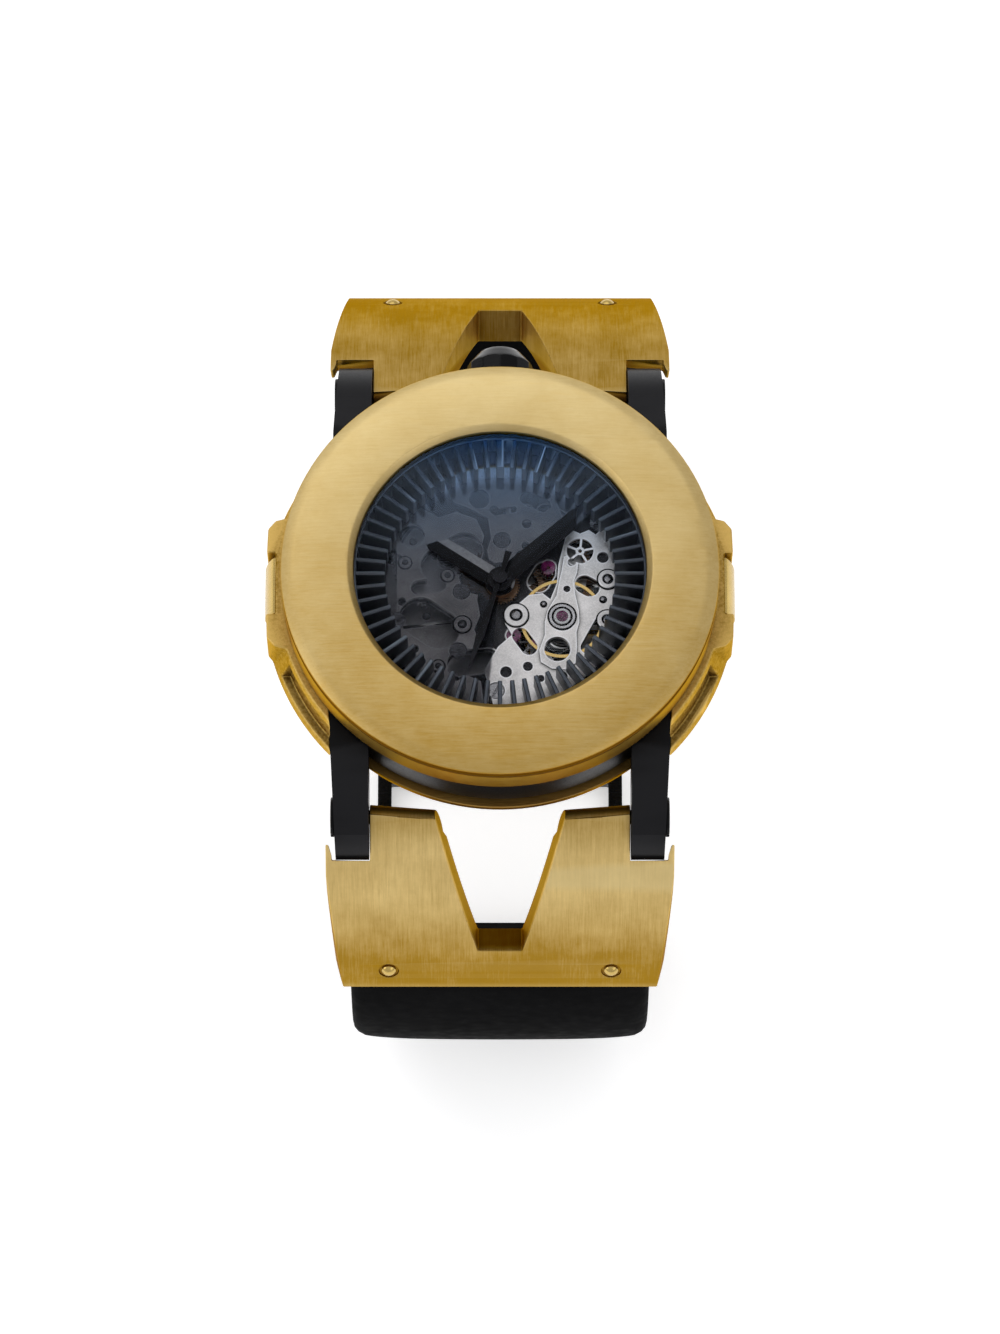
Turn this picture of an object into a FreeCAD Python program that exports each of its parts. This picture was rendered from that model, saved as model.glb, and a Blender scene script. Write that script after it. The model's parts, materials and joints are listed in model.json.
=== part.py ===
import FreeCAD, Part
import Sketcher
import math
import os

# A skeleton wristwatch, dial up, standing on the closed loop of its strap.
# +Z is the dial's normal, +Y points to 12 o'clock, +X to 3 o'clock, and Z = 0 is the foot of the loop.
# Most pieces are drawn in the case's own frame, whose Z = 0 is the wrist side of the case back.
# The two end plates and straps are drawn in a hinge frame: X along the pin, -Y away from the case.

SIZES = {
    "case_lift": 47.5,
    # bezel and crystal
    "bezel_radius": 22.0,
    "bezel_mouth": 14.7,
    "bezel_top": 12.5,
    "bezel_foot": 7.7,
    "bezel_shoulder": 12.0,
    "bezel_dome_radius": 34,
    "bezel_groove": 0.4,
    "crystal_radius": 15.0,
    "crystal_foot": 10.3,
    "crystal_top": 11.8,
    # rehaut ring with its fins
    "rehaut_radius": 16.0,
    "rehaut_foot": 7.15,
    "rehaut_top": 10.25,
    "fin_outer": 14.6,
    "fin_inner": 11.55,
    "fin_top": 10.05,
    "fin_width": 0.46,
    "fin_width_top_hour": 0.8,
    "fin_count": 60,
    # middle case, chassis and back
    "band_radius": 21.5,
    "band_foot": 1.95,
    "band_bore": 16.6,
    "chassis_radius": 22.1,
    "chassis_bore": 18.2,
    "chassis_foot": 0.6,
    "back_radius": 18.1,
    "back_window": 13.0,
    "back_top": 1.35,
    "back_glass_foot": 0.25,
    "back_glass_top": 1.0,
    # lugs and hinge pins
    "lug_inner": 13.15,
    "lug_outer": 17.0,
    "lug_tip_outer": 16.6,
    "lug_tip_radius": 4.3,
    "pin_reach": 22.9,
    "pin_height": 1.3,
    "pin_radius": 0.75,
    "pin_inner": 9.5,
    "pin_head_radius": 2.0,
    "pin_head_height": 0.4,
    # end plates
    "plate_bend": 33.0,
    "plate_thick": 3.5,
    "plate_centre_out": 18.37,
    "plate_centre_down": 25.28,
    "plate_start_angle": 22,
    "plate_end_angle": 72,
    "plate_half_width": 17.5,
    "plate_end_half": 15.7,
    "tongue_half": 13.05,
    "notch_radius": 4.37,
    "near_edge_radius": 1.55,
    "near_edge_out": 0.34,
    "near_edge_skew": 4.5,
    "vee_mouth_half": 6.6,
    "vee_mouth_reach": 15.4,
    "vee_tip_half": 2.25,
    "vee_tip_angle": 62.3,
    "vee_lean": 60,
    "rivet_angle": 67.5,
    "rivet_side": 11.3,
    "rivet_head": 0.72,
    "rivet_sink": 1.0,
    "rivet_shank": 0.5,
    "rivet_rise": 0.35,
    "rivet_ball": 0.9,
    "upper_tilt": -15,
    "lower_tilt": 0,
    # strap
    "strap_half": 15.3,
    "strap_narrow_from": -30,
    "strap_narrow_to": -47,
    "strap_end_half": 13.3,
    "strap_thick": 3.6,
    "strap_step": 0.6,
    "tongue_thick": 1.4,
    "tongue_start_angle": 64,
    # clasp
    "cover_thick": 1.3,
    "cover_half": 13.3,
    "cover_near": 0.2,
    "cover_far": 19.5,
    "frame_rail": 1.5,
    "frame_thick": 1.5,
    "frame_bar": 1.5,
    "frame_near": 0.7,
    "clasp_pin_out": -3.3,
    "clasp_pin_down": 46.9,
    "clasp_pin_radius": 0.5,
    "clasp_knuckle": 1.05,
    "guard_screw": 0.5,
    "guard_foot_radius": 23.9,
    "guard_top_radius": 22.6,
    "guard_channel_deep": 0.9,
    # hands
    "hour_length": 8.4,
    "minute_length": 11.0,
    "seconds_length": 10.4,
    "seconds_tail": 2.9,
    "hour_level": 7.55,
    "minute_level": 8.15,
    "seconds_level": 8.8,
    # movement levels
    "dial_foot": 6.75,
    "dial_top": 7.1,
    "dial_radius": 15.6,
    "plate_radius": 13.2,
    "main_foot": 4.9,
    "main_top": 5.9,
    "bridge_foot": 2.2,
    "bridge_top": 2.8,
    "dial_bridge_foot": 5.95,
    "dial_bridge_top": 6.3,
    "arm_rise": 0.2,
    "shock_radius": 1.28,
    # stem and winding works
    "stem_height": 4.6,
    "stem_radius": 0.6,
    "crown_radius": 3.4,
    "crown_near": 22.3,
    "crown_far": 26.4,
    # train
    "centre_module": 0.12,
    "third_module": 0.127,
    "fourth_module": 0.12,
    "barrel_module": 0.1449,
    "motion_module": 0.1,
    "motion_module_hour": 0.096,
    "balance_radius": 4.1,
}

doc = FreeCAD.newDocument("SkeletonWatch")
sheet = doc.addObject("Spreadsheet::Sheet", "Sizes")
for row, (alias, value) in enumerate(SIZES.items(), start=1):
    sheet.set(f"A{row}", alias)
    sheet.set(f"B{row}", str(value))
    sheet.setAlias(f"B{row}", alias)
doc.recompute()

UP = FreeCAD.Vector(0, 0, 1)
NODES = {}


def size(expression):
    """The value, in millimetres or degrees, of a sheet expression such as 'bezel_top - 1'."""
    value = sheet.evalExpression(str(expression))
    return float(getattr(value, "Value", value))


def bind(thing, prop, expression):
    """Bind a property to sheet cells; plain words in the expression are the sheet's aliases."""
    words = sorted(SIZES, key=len, reverse=True)
    out, at = "", 0
    text = str(expression)
    while at < len(text):
        hit = next((w for w in words if text.startswith(w, at)), None)
        if hit:
            out += "Sizes." + hit
            at += len(hit)
        else:
            out += text[at]
            at += 1
    thing.setExpression(prop, out)


def node(thing, label, lift="case_lift"):
    """Register a finished sub-part under its own name and lift it from the case frame to the world."""
    thing.Label = label
    bind(thing, "Placement.Base.z", lift)
    NODES[label] = thing
    return thing


# ---------------------------------------------------------------- sketched bodies


def origin_plane(body, role):
    return next(f for f in body.Origin.OriginFeatures if f.Role == role)


def arc_centre(start, end, radius, turn):
    """Centre of the minor arc from start to end: turn is 1 anticlockwise and -1 clockwise."""
    chord = end - start
    middle = (start + end) * 0.5
    rise = math.sqrt(max(radius * radius - (chord.Length / 2) ** 2, 0))
    left = FreeCAD.Vector(-chord.y, chord.x, 0).normalize()
    return middle + left * rise * turn


def draw_loop(sketch, corners):
    """A closed loop of lines and arcs, its corners and radii bound to the sheet.

    A corner is (x, y), or (x, y, radius, turn) where an arc leads to the next corner."""
    points = [FreeCAD.Vector(size(c[0]), size(c[1]), 0) for c in corners]
    first = sketch.GeometryCount
    ends = []
    for i, corner in enumerate(corners):
        here, there = points[i], points[(i + 1) % len(points)]
        if len(corner) == 2:
            sketch.addGeometry(Part.LineSegment(here, there))
            ends.append((1, 2))
            continue
        radius, turn = size(corner[2]), corner[3]
        centre = arc_centre(here, there, radius, turn)
        a, b = (here, there) if turn > 0 else (there, here)
        angles = [math.atan2(p.y - centre.y, p.x - centre.x) for p in (a, b)]
        circle = Part.Circle(centre, UP, radius)
        sketch.addGeometry(Part.ArcOfCircle(circle, angles[0], angles[1]))
        ends.append((1, 2) if turn > 0 else (2, 1))
    for i, corner in enumerate(corners):
        after = (i + 1) % len(corners)
        sketch.addConstraint(
            Sketcher.Constraint("Coincident", first + i, ends[i][1], first + after, ends[after][0])
        )
    for i, corner in enumerate(corners):
        spot = points[i]
        for kind, number, text in (("DistanceX", spot.x, corner[0]), ("DistanceY", spot.y, corner[1])):
            index = sketch.addConstraint(
                Sketcher.Constraint(kind, -1, 1, first + i, ends[i][0], number)
            )
            bind(sketch, f"Constraints[{index}]", text)
        if len(corner) == 4:
            index = sketch.addConstraint(Sketcher.Constraint("Radius", first + i, size(corner[2])))
            bind(sketch, f"Constraints[{index}]", corner[2])


def new_sketch(body, name, role, lift="0"):
    sketch = body.newObject("Sketcher::SketchObject", name)
    sketch.AttachmentSupport = (origin_plane(body, role), [""])
    sketch.MapMode = "FlatFace"
    if lift != "0":
        bind(sketch, "AttachmentOffset.Base.z", lift)
    return sketch


def turned(name, *loops):
    """A body turned about the Z axis; each loop's corners are (radius, height)."""
    body = doc.addObject("PartDesign::Body", name)
    sketch = new_sketch(body, name + "_section", "XZ_Plane")
    for corners in loops:
        draw_loop(sketch, corners)
    turn = body.newObject("PartDesign::Revolution", name + "_turn")
    turn.Profile = sketch
    turn.ReferenceAxis = (sketch, ["V_Axis"])
    turn.Angle = 360
    return body


def ring(name, inner, outer, foot, top):
    return turned(name, [(inner, foot), (outer, foot), (outer, top), (inner, top)])


def padded(name, loops, foot, height, role="XY_Plane", middle=False):
    """A body padded from closed loops drawn on an origin plane lifted to foot."""
    body = doc.addObject("PartDesign::Body", name)
    sketch = new_sketch(body, name + "_outline", role, foot)
    for corners in loops:
        draw_loop(sketch, corners)
    pad = body.newObject("PartDesign::Pad", name + "_pad")
    pad.Profile = sketch
    pad.Midplane = middle
    bind(pad, "Length", height)
    return body


# ---------------------------------------------------------------- primitives and booleans

AXES = {
    "Z": FreeCAD.Rotation(),
    "Y": FreeCAD.Rotation(FreeCAD.Vector(1, 0, 0), -90),
    "-Y": FreeCAD.Rotation(FreeCAD.Vector(1, 0, 0), 90),
    "X": FreeCAD.Rotation(FreeCAD.Vector(0, 1, 0), 90),
}


def put(thing, at, axis="Z"):
    """Place a primitive: at is three sheet expressions, axis the way its own Z points."""
    rotation = AXES[axis] if isinstance(axis, str) else axis
    thing.Placement = FreeCAD.Placement(FreeCAD.Vector(), rotation)
    for letter, expression in zip("xyz", at):
        bind(thing, f"Placement.Base.{letter}", expression)
    return thing


def cylinder(name, radius, height, at=(0, 0, 0), axis="Z"):
    thing = doc.addObject("Part::Cylinder", name)
    bind(thing, "Radius", radius)
    bind(thing, "Height", height)
    return put(thing, at, axis)


def cone(name, foot_radius, top_radius, height, at=(0, 0, 0), axis="Z"):
    thing = doc.addObject("Part::Cone", name)
    bind(thing, "Radius1", foot_radius)
    bind(thing, "Radius2", top_radius)
    bind(thing, "Height", height)
    return put(thing, at, axis)


def box(name, length, width, height, at=(0, 0, 0), axis="Z"):
    thing = doc.addObject("Part::Box", name)
    bind(thing, "Length", length)
    bind(thing, "Width", width)
    bind(thing, "Height", height)
    return put(thing, at, axis)


def fuse(name, shapes):
    thing = doc.addObject("Part::MultiFuse", name)
    thing.Shapes = shapes
    return thing


def cut(name, base, tools):
    thing = doc.addObject("Part::Cut", name)
    thing.Base = base
    thing.Tool = tools[0] if len(tools) == 1 else fuse(name + "_tools", tools)
    return thing


def common(name, shapes):
    thing = doc.addObject("Part::MultiCommon", name)
    thing.Shapes = shapes
    return thing


def made(name, shape):
    """A piece whose shape comes from a formula, such as a toothed wheel or a coil."""
    thing = doc.addObject("Part::Feature", name)
    thing.Shape = Part.makeCompound(shape.Solids)
    thing.Placement = FreeCAD.Placement()
    return thing


def vec(x, y, z=0.0):
    return FreeCAD.Vector(x, y, z)


def polar(radius, degrees, z=0.0):
    angle = math.radians(degrees)
    return vec(radius * math.cos(angle), radius * math.sin(angle), z)


def disc(radius, foot, top, at=(0, 0), hole=0.0):
    shape = Part.makeCylinder(radius, top - foot, vec(at[0], at[1], foot))
    if hole:
        shape = shape.cut(Part.makeCylinder(hole, top - foot, vec(at[0], at[1], foot)))
    return shape


def prism(points, foot, top):
    """A straight prism over a closed polygon of (x, y) points."""
    corners = [vec(x, y, foot) for x, y in points]
    face = Part.Face(Part.makePolygon(corners + corners[:1]))
    return face.extrude(vec(0, 0, top - foot))


def compound(shapes):
    solids = [s for shape in shapes for s in shape.Solids]
    return Part.makeCompound(solids)


def one(shapes):
    """Shapes fused to one solid with its seams removed."""
    return shapes[0].fuse(shapes[1:]).removeSplitter()


# ---------------------------------------------------------------- case


def bezel_parts():
    bezel = turned(
        "bezel_body",
        [
            ("bezel_mouth", "crystal_top - 0.9"),
            ("crystal_radius + 0.7", "crystal_top - 0.9"),
            ("crystal_radius + 0.7", "rehaut_top + 0.02"),
            ("rehaut_radius + 0.2", "rehaut_top + 0.02"),
            ("rehaut_radius + 0.2", "bezel_foot"),
            ("bezel_radius", "bezel_foot"),
            ("bezel_radius", "bezel_shoulder - 1.35"),
            ("bezel_radius - bezel_groove", "bezel_shoulder - 1.2"),
            ("bezel_radius - bezel_groove", "bezel_shoulder - 0.95"),
            ("bezel_radius", "bezel_shoulder - 0.8"),
            ("bezel_radius", "bezel_shoulder - 0.5"),
            ("bezel_radius - 0.9", "bezel_shoulder", "bezel_dome_radius", 1),
            ("bezel_mouth + 0.6", "bezel_top - 0.15"),
            ("bezel_mouth", "bezel_top - 0.75"),
        ],
    )
    node(bezel, "bezel")
    crystal = turned(
        "crystal_body",
        [
            ("0", "crystal_foot"),
            ("bezel_mouth - 0.1", "crystal_foot"),
            ("bezel_mouth - 0.1", "crystal_top - 0.35", "230", 1),
            ("2", "crystal_top"),
            ("0", "crystal_top"),
        ],
    )
    node(crystal, "crystal")
    gasket = ring(
        "gasket_body", "bezel_mouth - 0.05", "crystal_radius + 0.65", "crystal_foot", "crystal_top - 0.95"
    )
    node(gasket, "crystal_gasket")


def rehaut_parts():
    """The deep black flange ring: tall radial fins, one per minute, the one at 12 wider."""
    wall = turned(
        "rehaut_wall",
        [
            ("fin_outer - 0.1", "rehaut_foot"),
            ("rehaut_radius", "rehaut_foot"),
            ("rehaut_radius", "rehaut_top"),
            ("fin_outer - 0.1", "rehaut_top"),
        ],
    )
    doc.recompute()
    outer, inner = size("fin_outer"), size("fin_inner")
    foot, top = size("rehaut_foot"), size("fin_top")
    count = int(size("fin_count"))
    fins = []
    for step in range(count):
        half = size("fin_width_top_hour" if step == 0 else "fin_width") / 2
        bevel = half * 0.45
        section = [
            vec(inner, -half, foot), vec(inner, half, foot),
            vec(inner, half, top - bevel), vec(inner, half - bevel, top),
            vec(inner, bevel - half, top), vec(inner, -half, top - bevel),
        ]
        fin = Part.Face(Part.makePolygon(section + section[:1])).extrude(vec(outer - inner, 0, 0))
        fin.rotate(vec(0, 0), UP, 90 - step * 360 / count)
        fins.append(fin)
    node(made("rehaut_body", one([wall.Shape] + fins)), "rehaut_ring")


LUG_SIDES = (-1, 1)
LUG_ENDS = (-1, 1)


def lug(name, side, end):
    """One long lug: a flat-sided arm that droops to a round end about the hinge pin."""
    profile = [
        (f"12 * {end}", "band_foot + 0.1"),
        (f"(pin_reach - 5) * {end}", "band_foot - 1.2"),
        (f"(pin_reach - 0.2) * {end}", "pin_height - 3.3", "6", end),
        (f"(pin_reach + 3.2) * {end}", "pin_height - 2.87", "lug_tip_radius", end),
        (f"(pin_reach + 3.95) * {end}", "pin_height - 1.7", "9", end),
        (f"(pin_reach + 2.45) * {end}", "pin_height + 1.6", "12", end),
        (f"(pin_reach - 1.6) * {end}", "pin_height + 4.3", "20", end),
        (f"(pin_reach - 6) * {end}", "bezel_foot - 0.9"),
        (f"12 * {end}", "bezel_foot - 0.4"),
    ]
    arm = padded(name + "_arm", [profile], "lug_inner" if side > 0 else "-lug_outer",
                 "lug_outer - lug_inner", role="YZ_Plane")
    wedge = [
        (f"{side} * lug_outer", f"{end} * (pin_reach - 6)"),
        (f"{side} * (lug_tip_outer - 0.4)", f"{end} * (pin_reach + 10)"),
        (f"{side} * (lug_outer + 5)", f"{end} * (pin_reach + 10)"),
        (f"{side} * (lug_outer + 5)", f"{end} * (pin_reach - 6)"),
    ]
    blunt = padded(name + "_trim", [wedge], "-10", "30")
    return cut(name, arm, [blunt])


def middle_case():
    """The black band with its four lugs, bored for the movement and the crown tube."""
    band = turned(
        "band",
        [
            ("band_bore", "band_foot"),
            ("band_radius - 0.5", "band_foot"),
            ("band_radius", "band_foot + 0.9"),
            ("band_radius", "bezel_foot - 0.05"),
            ("band_bore", "bezel_foot - 0.05"),
        ],
    )
    lugs = [
        lug(f"lug_{'left' if side < 0 else 'right'}_{'lower' if end < 0 else 'upper'}", side, end)
        for side in LUG_SIDES
        for end in LUG_ENDS
    ]
    hollow = cylinder("case_bore", "band_bore", 20, (0, 0, -5))
    bezel_room = cylinder("bezel_room", "bezel_radius + 0.15", 10, (0, 0, "bezel_foot - 0.05"))
    chassis_room = cylinder("chassis_room", "chassis_radius + 0.1", "band_foot + 5", (0, 0, -5))
    stem_hole = cylinder("stem_hole", 1.25, 30, (0, 0, "stem_height"), "Y")
    crown_seat = cylinder("crown_seat", "crown_radius + 0.3", 10, (0, "crown_near - 1.4", "stem_height"), "Y")
    holes = [
        cylinder(f"pin_hole_{end}", "pin_radius", 50, (-25, f"{end} * pin_reach", "pin_height"), "X")
        for end in ("-1", "1")
    ]
    heads = [
        cylinder(f"pin_head_room_{side}_{end}", "pin_head_radius + 0.02", 4,
                 (f"{x}", f"{end} * pin_reach", "pin_height"), "X")
        for end in ("-1", "1")
        for side, x in (("left", "-lug_tip_outer - 4"), ("right", "lug_tip_outer"))
    ]
    whole = fuse("middle_solid", [band] + lugs)
    tools = [hollow, bezel_room, chassis_room, stem_hole, crown_seat] + holes + heads
    node(cut("middle_case_body", whole, tools), "middle_case")


def hinge_pins():
    """Four short pins, each through a lug into the end plate, with a slotted head outside."""
    pieces = []
    for end in ("-1", "1"):
        for side in (-1, 1):
            name = f"pin_{'left' if side < 0 else 'right'}_{end}"
            spot = (f"{end} * pin_reach", "pin_height")
            near = "pin_inner" if side > 0 else "-lug_tip_outer"
            outside = "lug_tip_outer" if side > 0 else "-lug_tip_outer - pin_head_height"
            slot_at = "lug_tip_outer + pin_head_height - 0.3" if side > 0 else outside
            shank = cylinder(name + "_shank", "pin_radius - 0.03", "lug_tip_outer - pin_inner",
                             (near, *spot), "X")
            head = cylinder(name + "_head", "pin_head_radius", "pin_head_height", (outside, *spot), "X")
            slot = box(name + "_slot", 0.3, 5, 0.5,
                       (slot_at, f"{end} * pin_reach - 2.5", "pin_height - 0.25"))
            pieces.append(cut(name, fuse(name + "_solid", [shank, head]), [slot]))
    group = doc.addObject("Part::Compound", "hinge_pin_group")
    group.Links = pieces
    node(group, "hinge_pins")


def case_chassis():
    """The thin gold flange between the band and the back."""
    flange = turned(
        "chassis_body",
        [
            ("chassis_bore", "chassis_foot"),
            ("chassis_radius - 0.6", "chassis_foot"),
            ("chassis_radius", "chassis_foot + 0.6"),
            ("chassis_radius", "band_foot - 0.05"),
            ("chassis_bore", "band_foot - 0.05"),
        ],
    )
    node(flange, "case_chassis")


def case_back():
    """The threaded ring of the display back, its glass and its screws."""
    ring_body = turned(
        "back_ring",
        [
            ("back_window - 0.6", "0"),
            ("back_radius - 0.6", "0"),
            ("back_radius", "0.4"),
            ("back_radius", "back_top"),
            ("back_window + 0.6", "back_top"),
            ("back_window + 0.6", "back_glass_top + 0.05"),
            ("back_window + 0.02", "back_glass_top + 0.05"),
            ("back_window + 0.02", "back_glass_foot - 0.02"),
            ("back_window - 0.6", "back_glass_foot - 0.02"),
        ],
    )
    angles = range(30, 390, 60)
    doc.recompute()
    wells = [
        cylinder(f"back_screw_well_{a}", 0.8, 1, (15.6 * math.cos(math.radians(a)),
                 15.6 * math.sin(math.radians(a)), -0.1))
        for a in angles
    ]
    node(cut("case_back_body", ring_body, wells), "case_back")
    thickness = "back_glass_top - back_glass_foot"
    glass = cylinder("back_glass", "back_window", thickness, (0, 0, "back_glass_foot"))
    node_with_foot(glass, "back_crystal", "back_glass_foot")
    screws = [slotted_screw(polar(15.6, a), 0.02, 0.78, 0.86, down=True) for a in angles]
    node(made("back_screws", compound(screws)), "case_back_screws")


def node_with_foot(thing, label, foot):
    """Register a single primitive, whose own foot height adds to the lift."""
    thing.Label = label
    bind(thing, "Placement.Base.z", "case_lift + " + foot)
    NODES[label] = thing


def slotted_screw(at, foot, radius, height, down=False, turn=30):
    """A cheese-head screw; the slot is in the upper face, or in the lower one if down."""
    head = Part.makeCylinder(radius, height, vec(at.x, at.y, foot))
    depth = height * 0.4
    low = foot if down else foot + height - depth
    slot = Part.makeBox(radius * 3, radius * 0.3, depth, vec(-radius * 1.5, -radius * 0.15, 0))
    slot.rotate(vec(0, 0), UP, turn + at.x * 40)
    slot.translate(vec(at.x, at.y, low))
    return head.cut(slot)


def side_guard(side, label):
    """The guard that wraps one flank: a flared skirt with a sunk channel and a square block."""
    name = label + "_solid"
    foot, height = "band_foot + 0.02", "bezel_foot - band_foot - 0.37"
    skirt = cone(name + "_skirt", "guard_foot_radius", "guard_top_radius", height, (0, 0, foot))
    corners = [(20.8, -7.3), (22.7, -6.8), (23.45, -5.9), (23.55, -3), (23.55, 3), (23.45, 5.9), (22.7, 6.8),
               (20.8, 7.3)]
    block = padded(name + "_block", [[(f"{side} * {x}", f"{y}") for x, y in corners]], foot, height)
    whole = fuse(name + "_whole", [skirt, block])
    inner = cylinder(name + "_inner", "band_radius + 0.04", 20, (0, 0, -5))
    inward = box(name + "_inward", 60, 60, 20, (f"{side} * (lug_outer - 29.92) - 30", -30, -5))
    screw_holes = [
        cylinder(f"{name}_screw_hole_{end}", "guard_screw + 0.01", 3,
                 (f"{side} * 23.85 - 1.5", f"{end} * 5", "band_foot + 2.45"), "X")
        for end in (-1, 1)
    ]
    channels = [
        cut(f"{name}_channel_{end}",
            cylinder(f"{name}_channel_out_{end}", 27, 3.3, (0, 0, "band_foot + 1.1")),
            [cone(f"{name}_channel_in_{end}", "guard_foot_radius - guard_channel_deep",
                  "guard_top_radius - guard_channel_deep", height, (0, 0, foot)),
             box(f"{name}_channel_stop_{end}", 60, 60, 10, (-30, f"{end} * -21.6 - 30", 0))])
        for end in (-1, 1)
    ]
    notch = box(name + "_notch", 4, 6.6, 20, (f"{side} * 24.6 - 2", -3.3, -5))
    node(cut(label + "_body", whole, [inner, inward, notch] + screw_holes + channels), label)


def side_claw(side, label):
    """The polished claw in the block's middle: a rounded shell that falls outwards, with a dark hole."""
    foot, top = size("band_foot + 0.5"), size("bezel_foot - 0.8")
    near, far, half = 22.62, 23.78, 3.15
    lines = [(near, foot), (far - 0.25, foot + 0.2), (far, foot + 1.1)]
    corners = [vec(side * x, -half, z) for x, z in lines]
    peak, shelf = vec(side * (near + 0.35), -half, top - 0.3), vec(side * near, -half, top)
    bulge = vec(side * (far - 0.22), -half, foot + 2.9)
    edges = [Part.makeLine(a, b) for a, b in zip(corners, corners[1:])]
    edges += [Part.Arc(corners[-1], bulge, peak).toShape(), Part.makeLine(peak, shelf),
              Part.makeLine(shelf, corners[0])]
    body = Part.Face(Part.Wire(edges)).extrude(vec(0, 2 * half, 0))
    plan = [
        (side * near, -half), (side * (far + 0.1), 0.4 - half),
        (side * (far + 0.1), half - 0.4), (side * near, half),
    ]
    body = body.common(prism(plan, foot - 1, top + 1))
    hole = Part.makeCylinder(0.45, 1.2, vec(25.0 * side, 0, foot + 1.1), vec(-side, 0, 0))
    node(made(label + "_body", body.cut(hole)), label)


def guard_screws():
    """Screws that hold each guard to the band."""
    screws = []
    for side in (-1, 1):
        for y in (-5, 5):
            at = vec(23.3 * side, y, size("band_foot") + 2.45)
            screws.append(Part.makeCylinder(size("guard_screw"), 0.9, at, vec(-side, 0, 0)))
    node(made("guard_screw_group", compound(screws)), "guard_screws")


# ---------------------------------------------------------------- end plates and straps


def plate_point(radius, degrees):
    """A point of an arc about the end plate's bend centre, in the hinge frame (outwards, up)."""
    angle = math.radians(degrees)
    out = -size("plate_centre_out") + radius * math.sin(angle)
    up = -size("plate_centre_down") + radius * math.cos(angle)
    return out, up


def hinge_vec(out, up, x=0.0):
    return vec(x, -out, up)


def band_face(steps, start, heading, thick):
    """The side face of a band that follows tangent arcs: steps are (length, turn in degrees)."""
    out, up = start
    left, right = [], []
    angle = heading

    def offset(o, u, a, d):
        """The point d to the outer side of the path where it heads a degrees below outwards."""
        t = math.radians(a)
        return hinge_vec(o + d * math.sin(t), u + d * math.cos(t))

    for length, turn in steps:
        half = math.radians(turn) / 2
        run = length if turn == 0 else length * math.sin(half) / half
        chord = math.radians(angle) + half
        mid_run = length / 2 if turn == 0 else length / 2 * math.sin(half / 2) / (half / 2)
        mid_chord = math.radians(angle) + half / 2
        middle = (out + mid_run * math.cos(mid_chord), up - mid_run * math.sin(mid_chord))
        ends = (out + run * math.cos(chord), up - run * math.sin(chord))
        for edges, d in ((left, thick / 2), (right, -thick / 2)):
            a = offset(out, up, angle, d)
            b = offset(middle[0], middle[1], angle + turn / 2, d)
            c = offset(ends[0], ends[1], angle + turn, d)
            edges.append(Part.LineSegment(a, c) if turn == 0 else Part.Arc(a, b, c))
        out, up = ends
        angle += turn
    close = Part.LineSegment(left[-1].EndPoint, right[-1].EndPoint)
    begin = Part.LineSegment(right[0].StartPoint, left[0].StartPoint)
    edges = [e.toShape() for e in left + [close] + right[::-1] + [begin]]
    wire = Part.Wire(Part.__sortEdges__(edges))
    return Part.Face(wire), (out, up), angle


def hinge_placement(end, tilt):
    """The hinge frame of the lower (-1) or upper (1) pin, turned about the pin by tilt degrees."""
    lean = FreeCAD.Rotation(vec(1, 0, 0), tilt)
    turn = FreeCAD.Rotation(UP, 0 if end < 0 else 180)
    place = FreeCAD.Placement()
    place.Rotation = turn.multiply(lean)
    return place


def hang(thing, label, end, tilt):
    """Register a piece drawn in the hinge frame."""
    thing.Label = label
    thing.Placement = hinge_placement(end, size(tilt))
    bind(thing, "Placement.Base.y", f"{end} * pin_reach")
    bind(thing, "Placement.Base.z", "case_lift + pin_height")
    NODES[label] = thing


def plate_blank():
    """The curved slab: an arc section extruded across, then tapered towards the strap."""
    outer, inner = size("plate_bend"), size("plate_bend - plate_thick")
    a0, a1 = size("plate_start_angle"), size("plate_end_angle")
    half = size("plate_half_width")
    arcs = []
    for radius in (outer, inner):
        points = [hinge_vec(*plate_point(radius, a), -half) for a in (a0, (a0 + a1) / 2, a1)]
        arcs.append(Part.Arc(*points).toShape())
    sides = [
        Part.makeLine(arcs[0].Vertexes[i].Point, arcs[1].Vertexes[i].Point) for i in (0, 1)
    ]
    wire = Part.Wire(Part.__sortEdges__([arcs[0], sides[0], arcs[1], sides[1]]))
    slab = Part.Face(wire).extrude(vec(2 * half, 0, 0))
    return slab


def taper_outline(near_half, far_half, far_out, bulge):
    """Plan outline of the plate with gently bowed sides, from the hinge out to the strap end."""
    reach = far_out + 1
    middle_half, middle_out = (near_half + far_half) / 2 + bulge, reach * 0.55
    right = Part.Arc(vec(near_half, 12), vec(middle_half, -middle_out), vec(far_half, -reach))
    left = Part.Arc(vec(-far_half, -reach), vec(-middle_half, -middle_out), vec(-near_half, 12))
    top = Part.LineSegment(vec(-near_half, 12), vec(near_half, 12))
    foot = Part.LineSegment(vec(far_half, -reach), vec(-far_half, -reach))
    wire = Part.Wire([e.toShape() for e in (right, foot, left, top)])
    return Part.Face(wire).extrude(vec(0, 0, 80)).translated(vec(0, 0, -50))


def near_edge_tool(side):
    """What leaves a rounded near edge round the pin, falling back a little towards the vee."""
    radius, out = size("near_edge_radius"), size("near_edge_out")
    hinge_side = size("tongue_half")
    block = Part.makeBox(hinge_side + 1, 12, 24, vec(0 if side > 0 else -hinge_side - 1, -out, -12))
    roll = Part.makeCylinder(radius, 2 * hinge_side + 10, vec(-hinge_side - 5, -out, 0), vec(1, 0, 0))
    tool = block.cut(roll)
    tool.rotate(vec(side * hinge_side, -out), UP, side * size("near_edge_skew"))
    return tool


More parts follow.
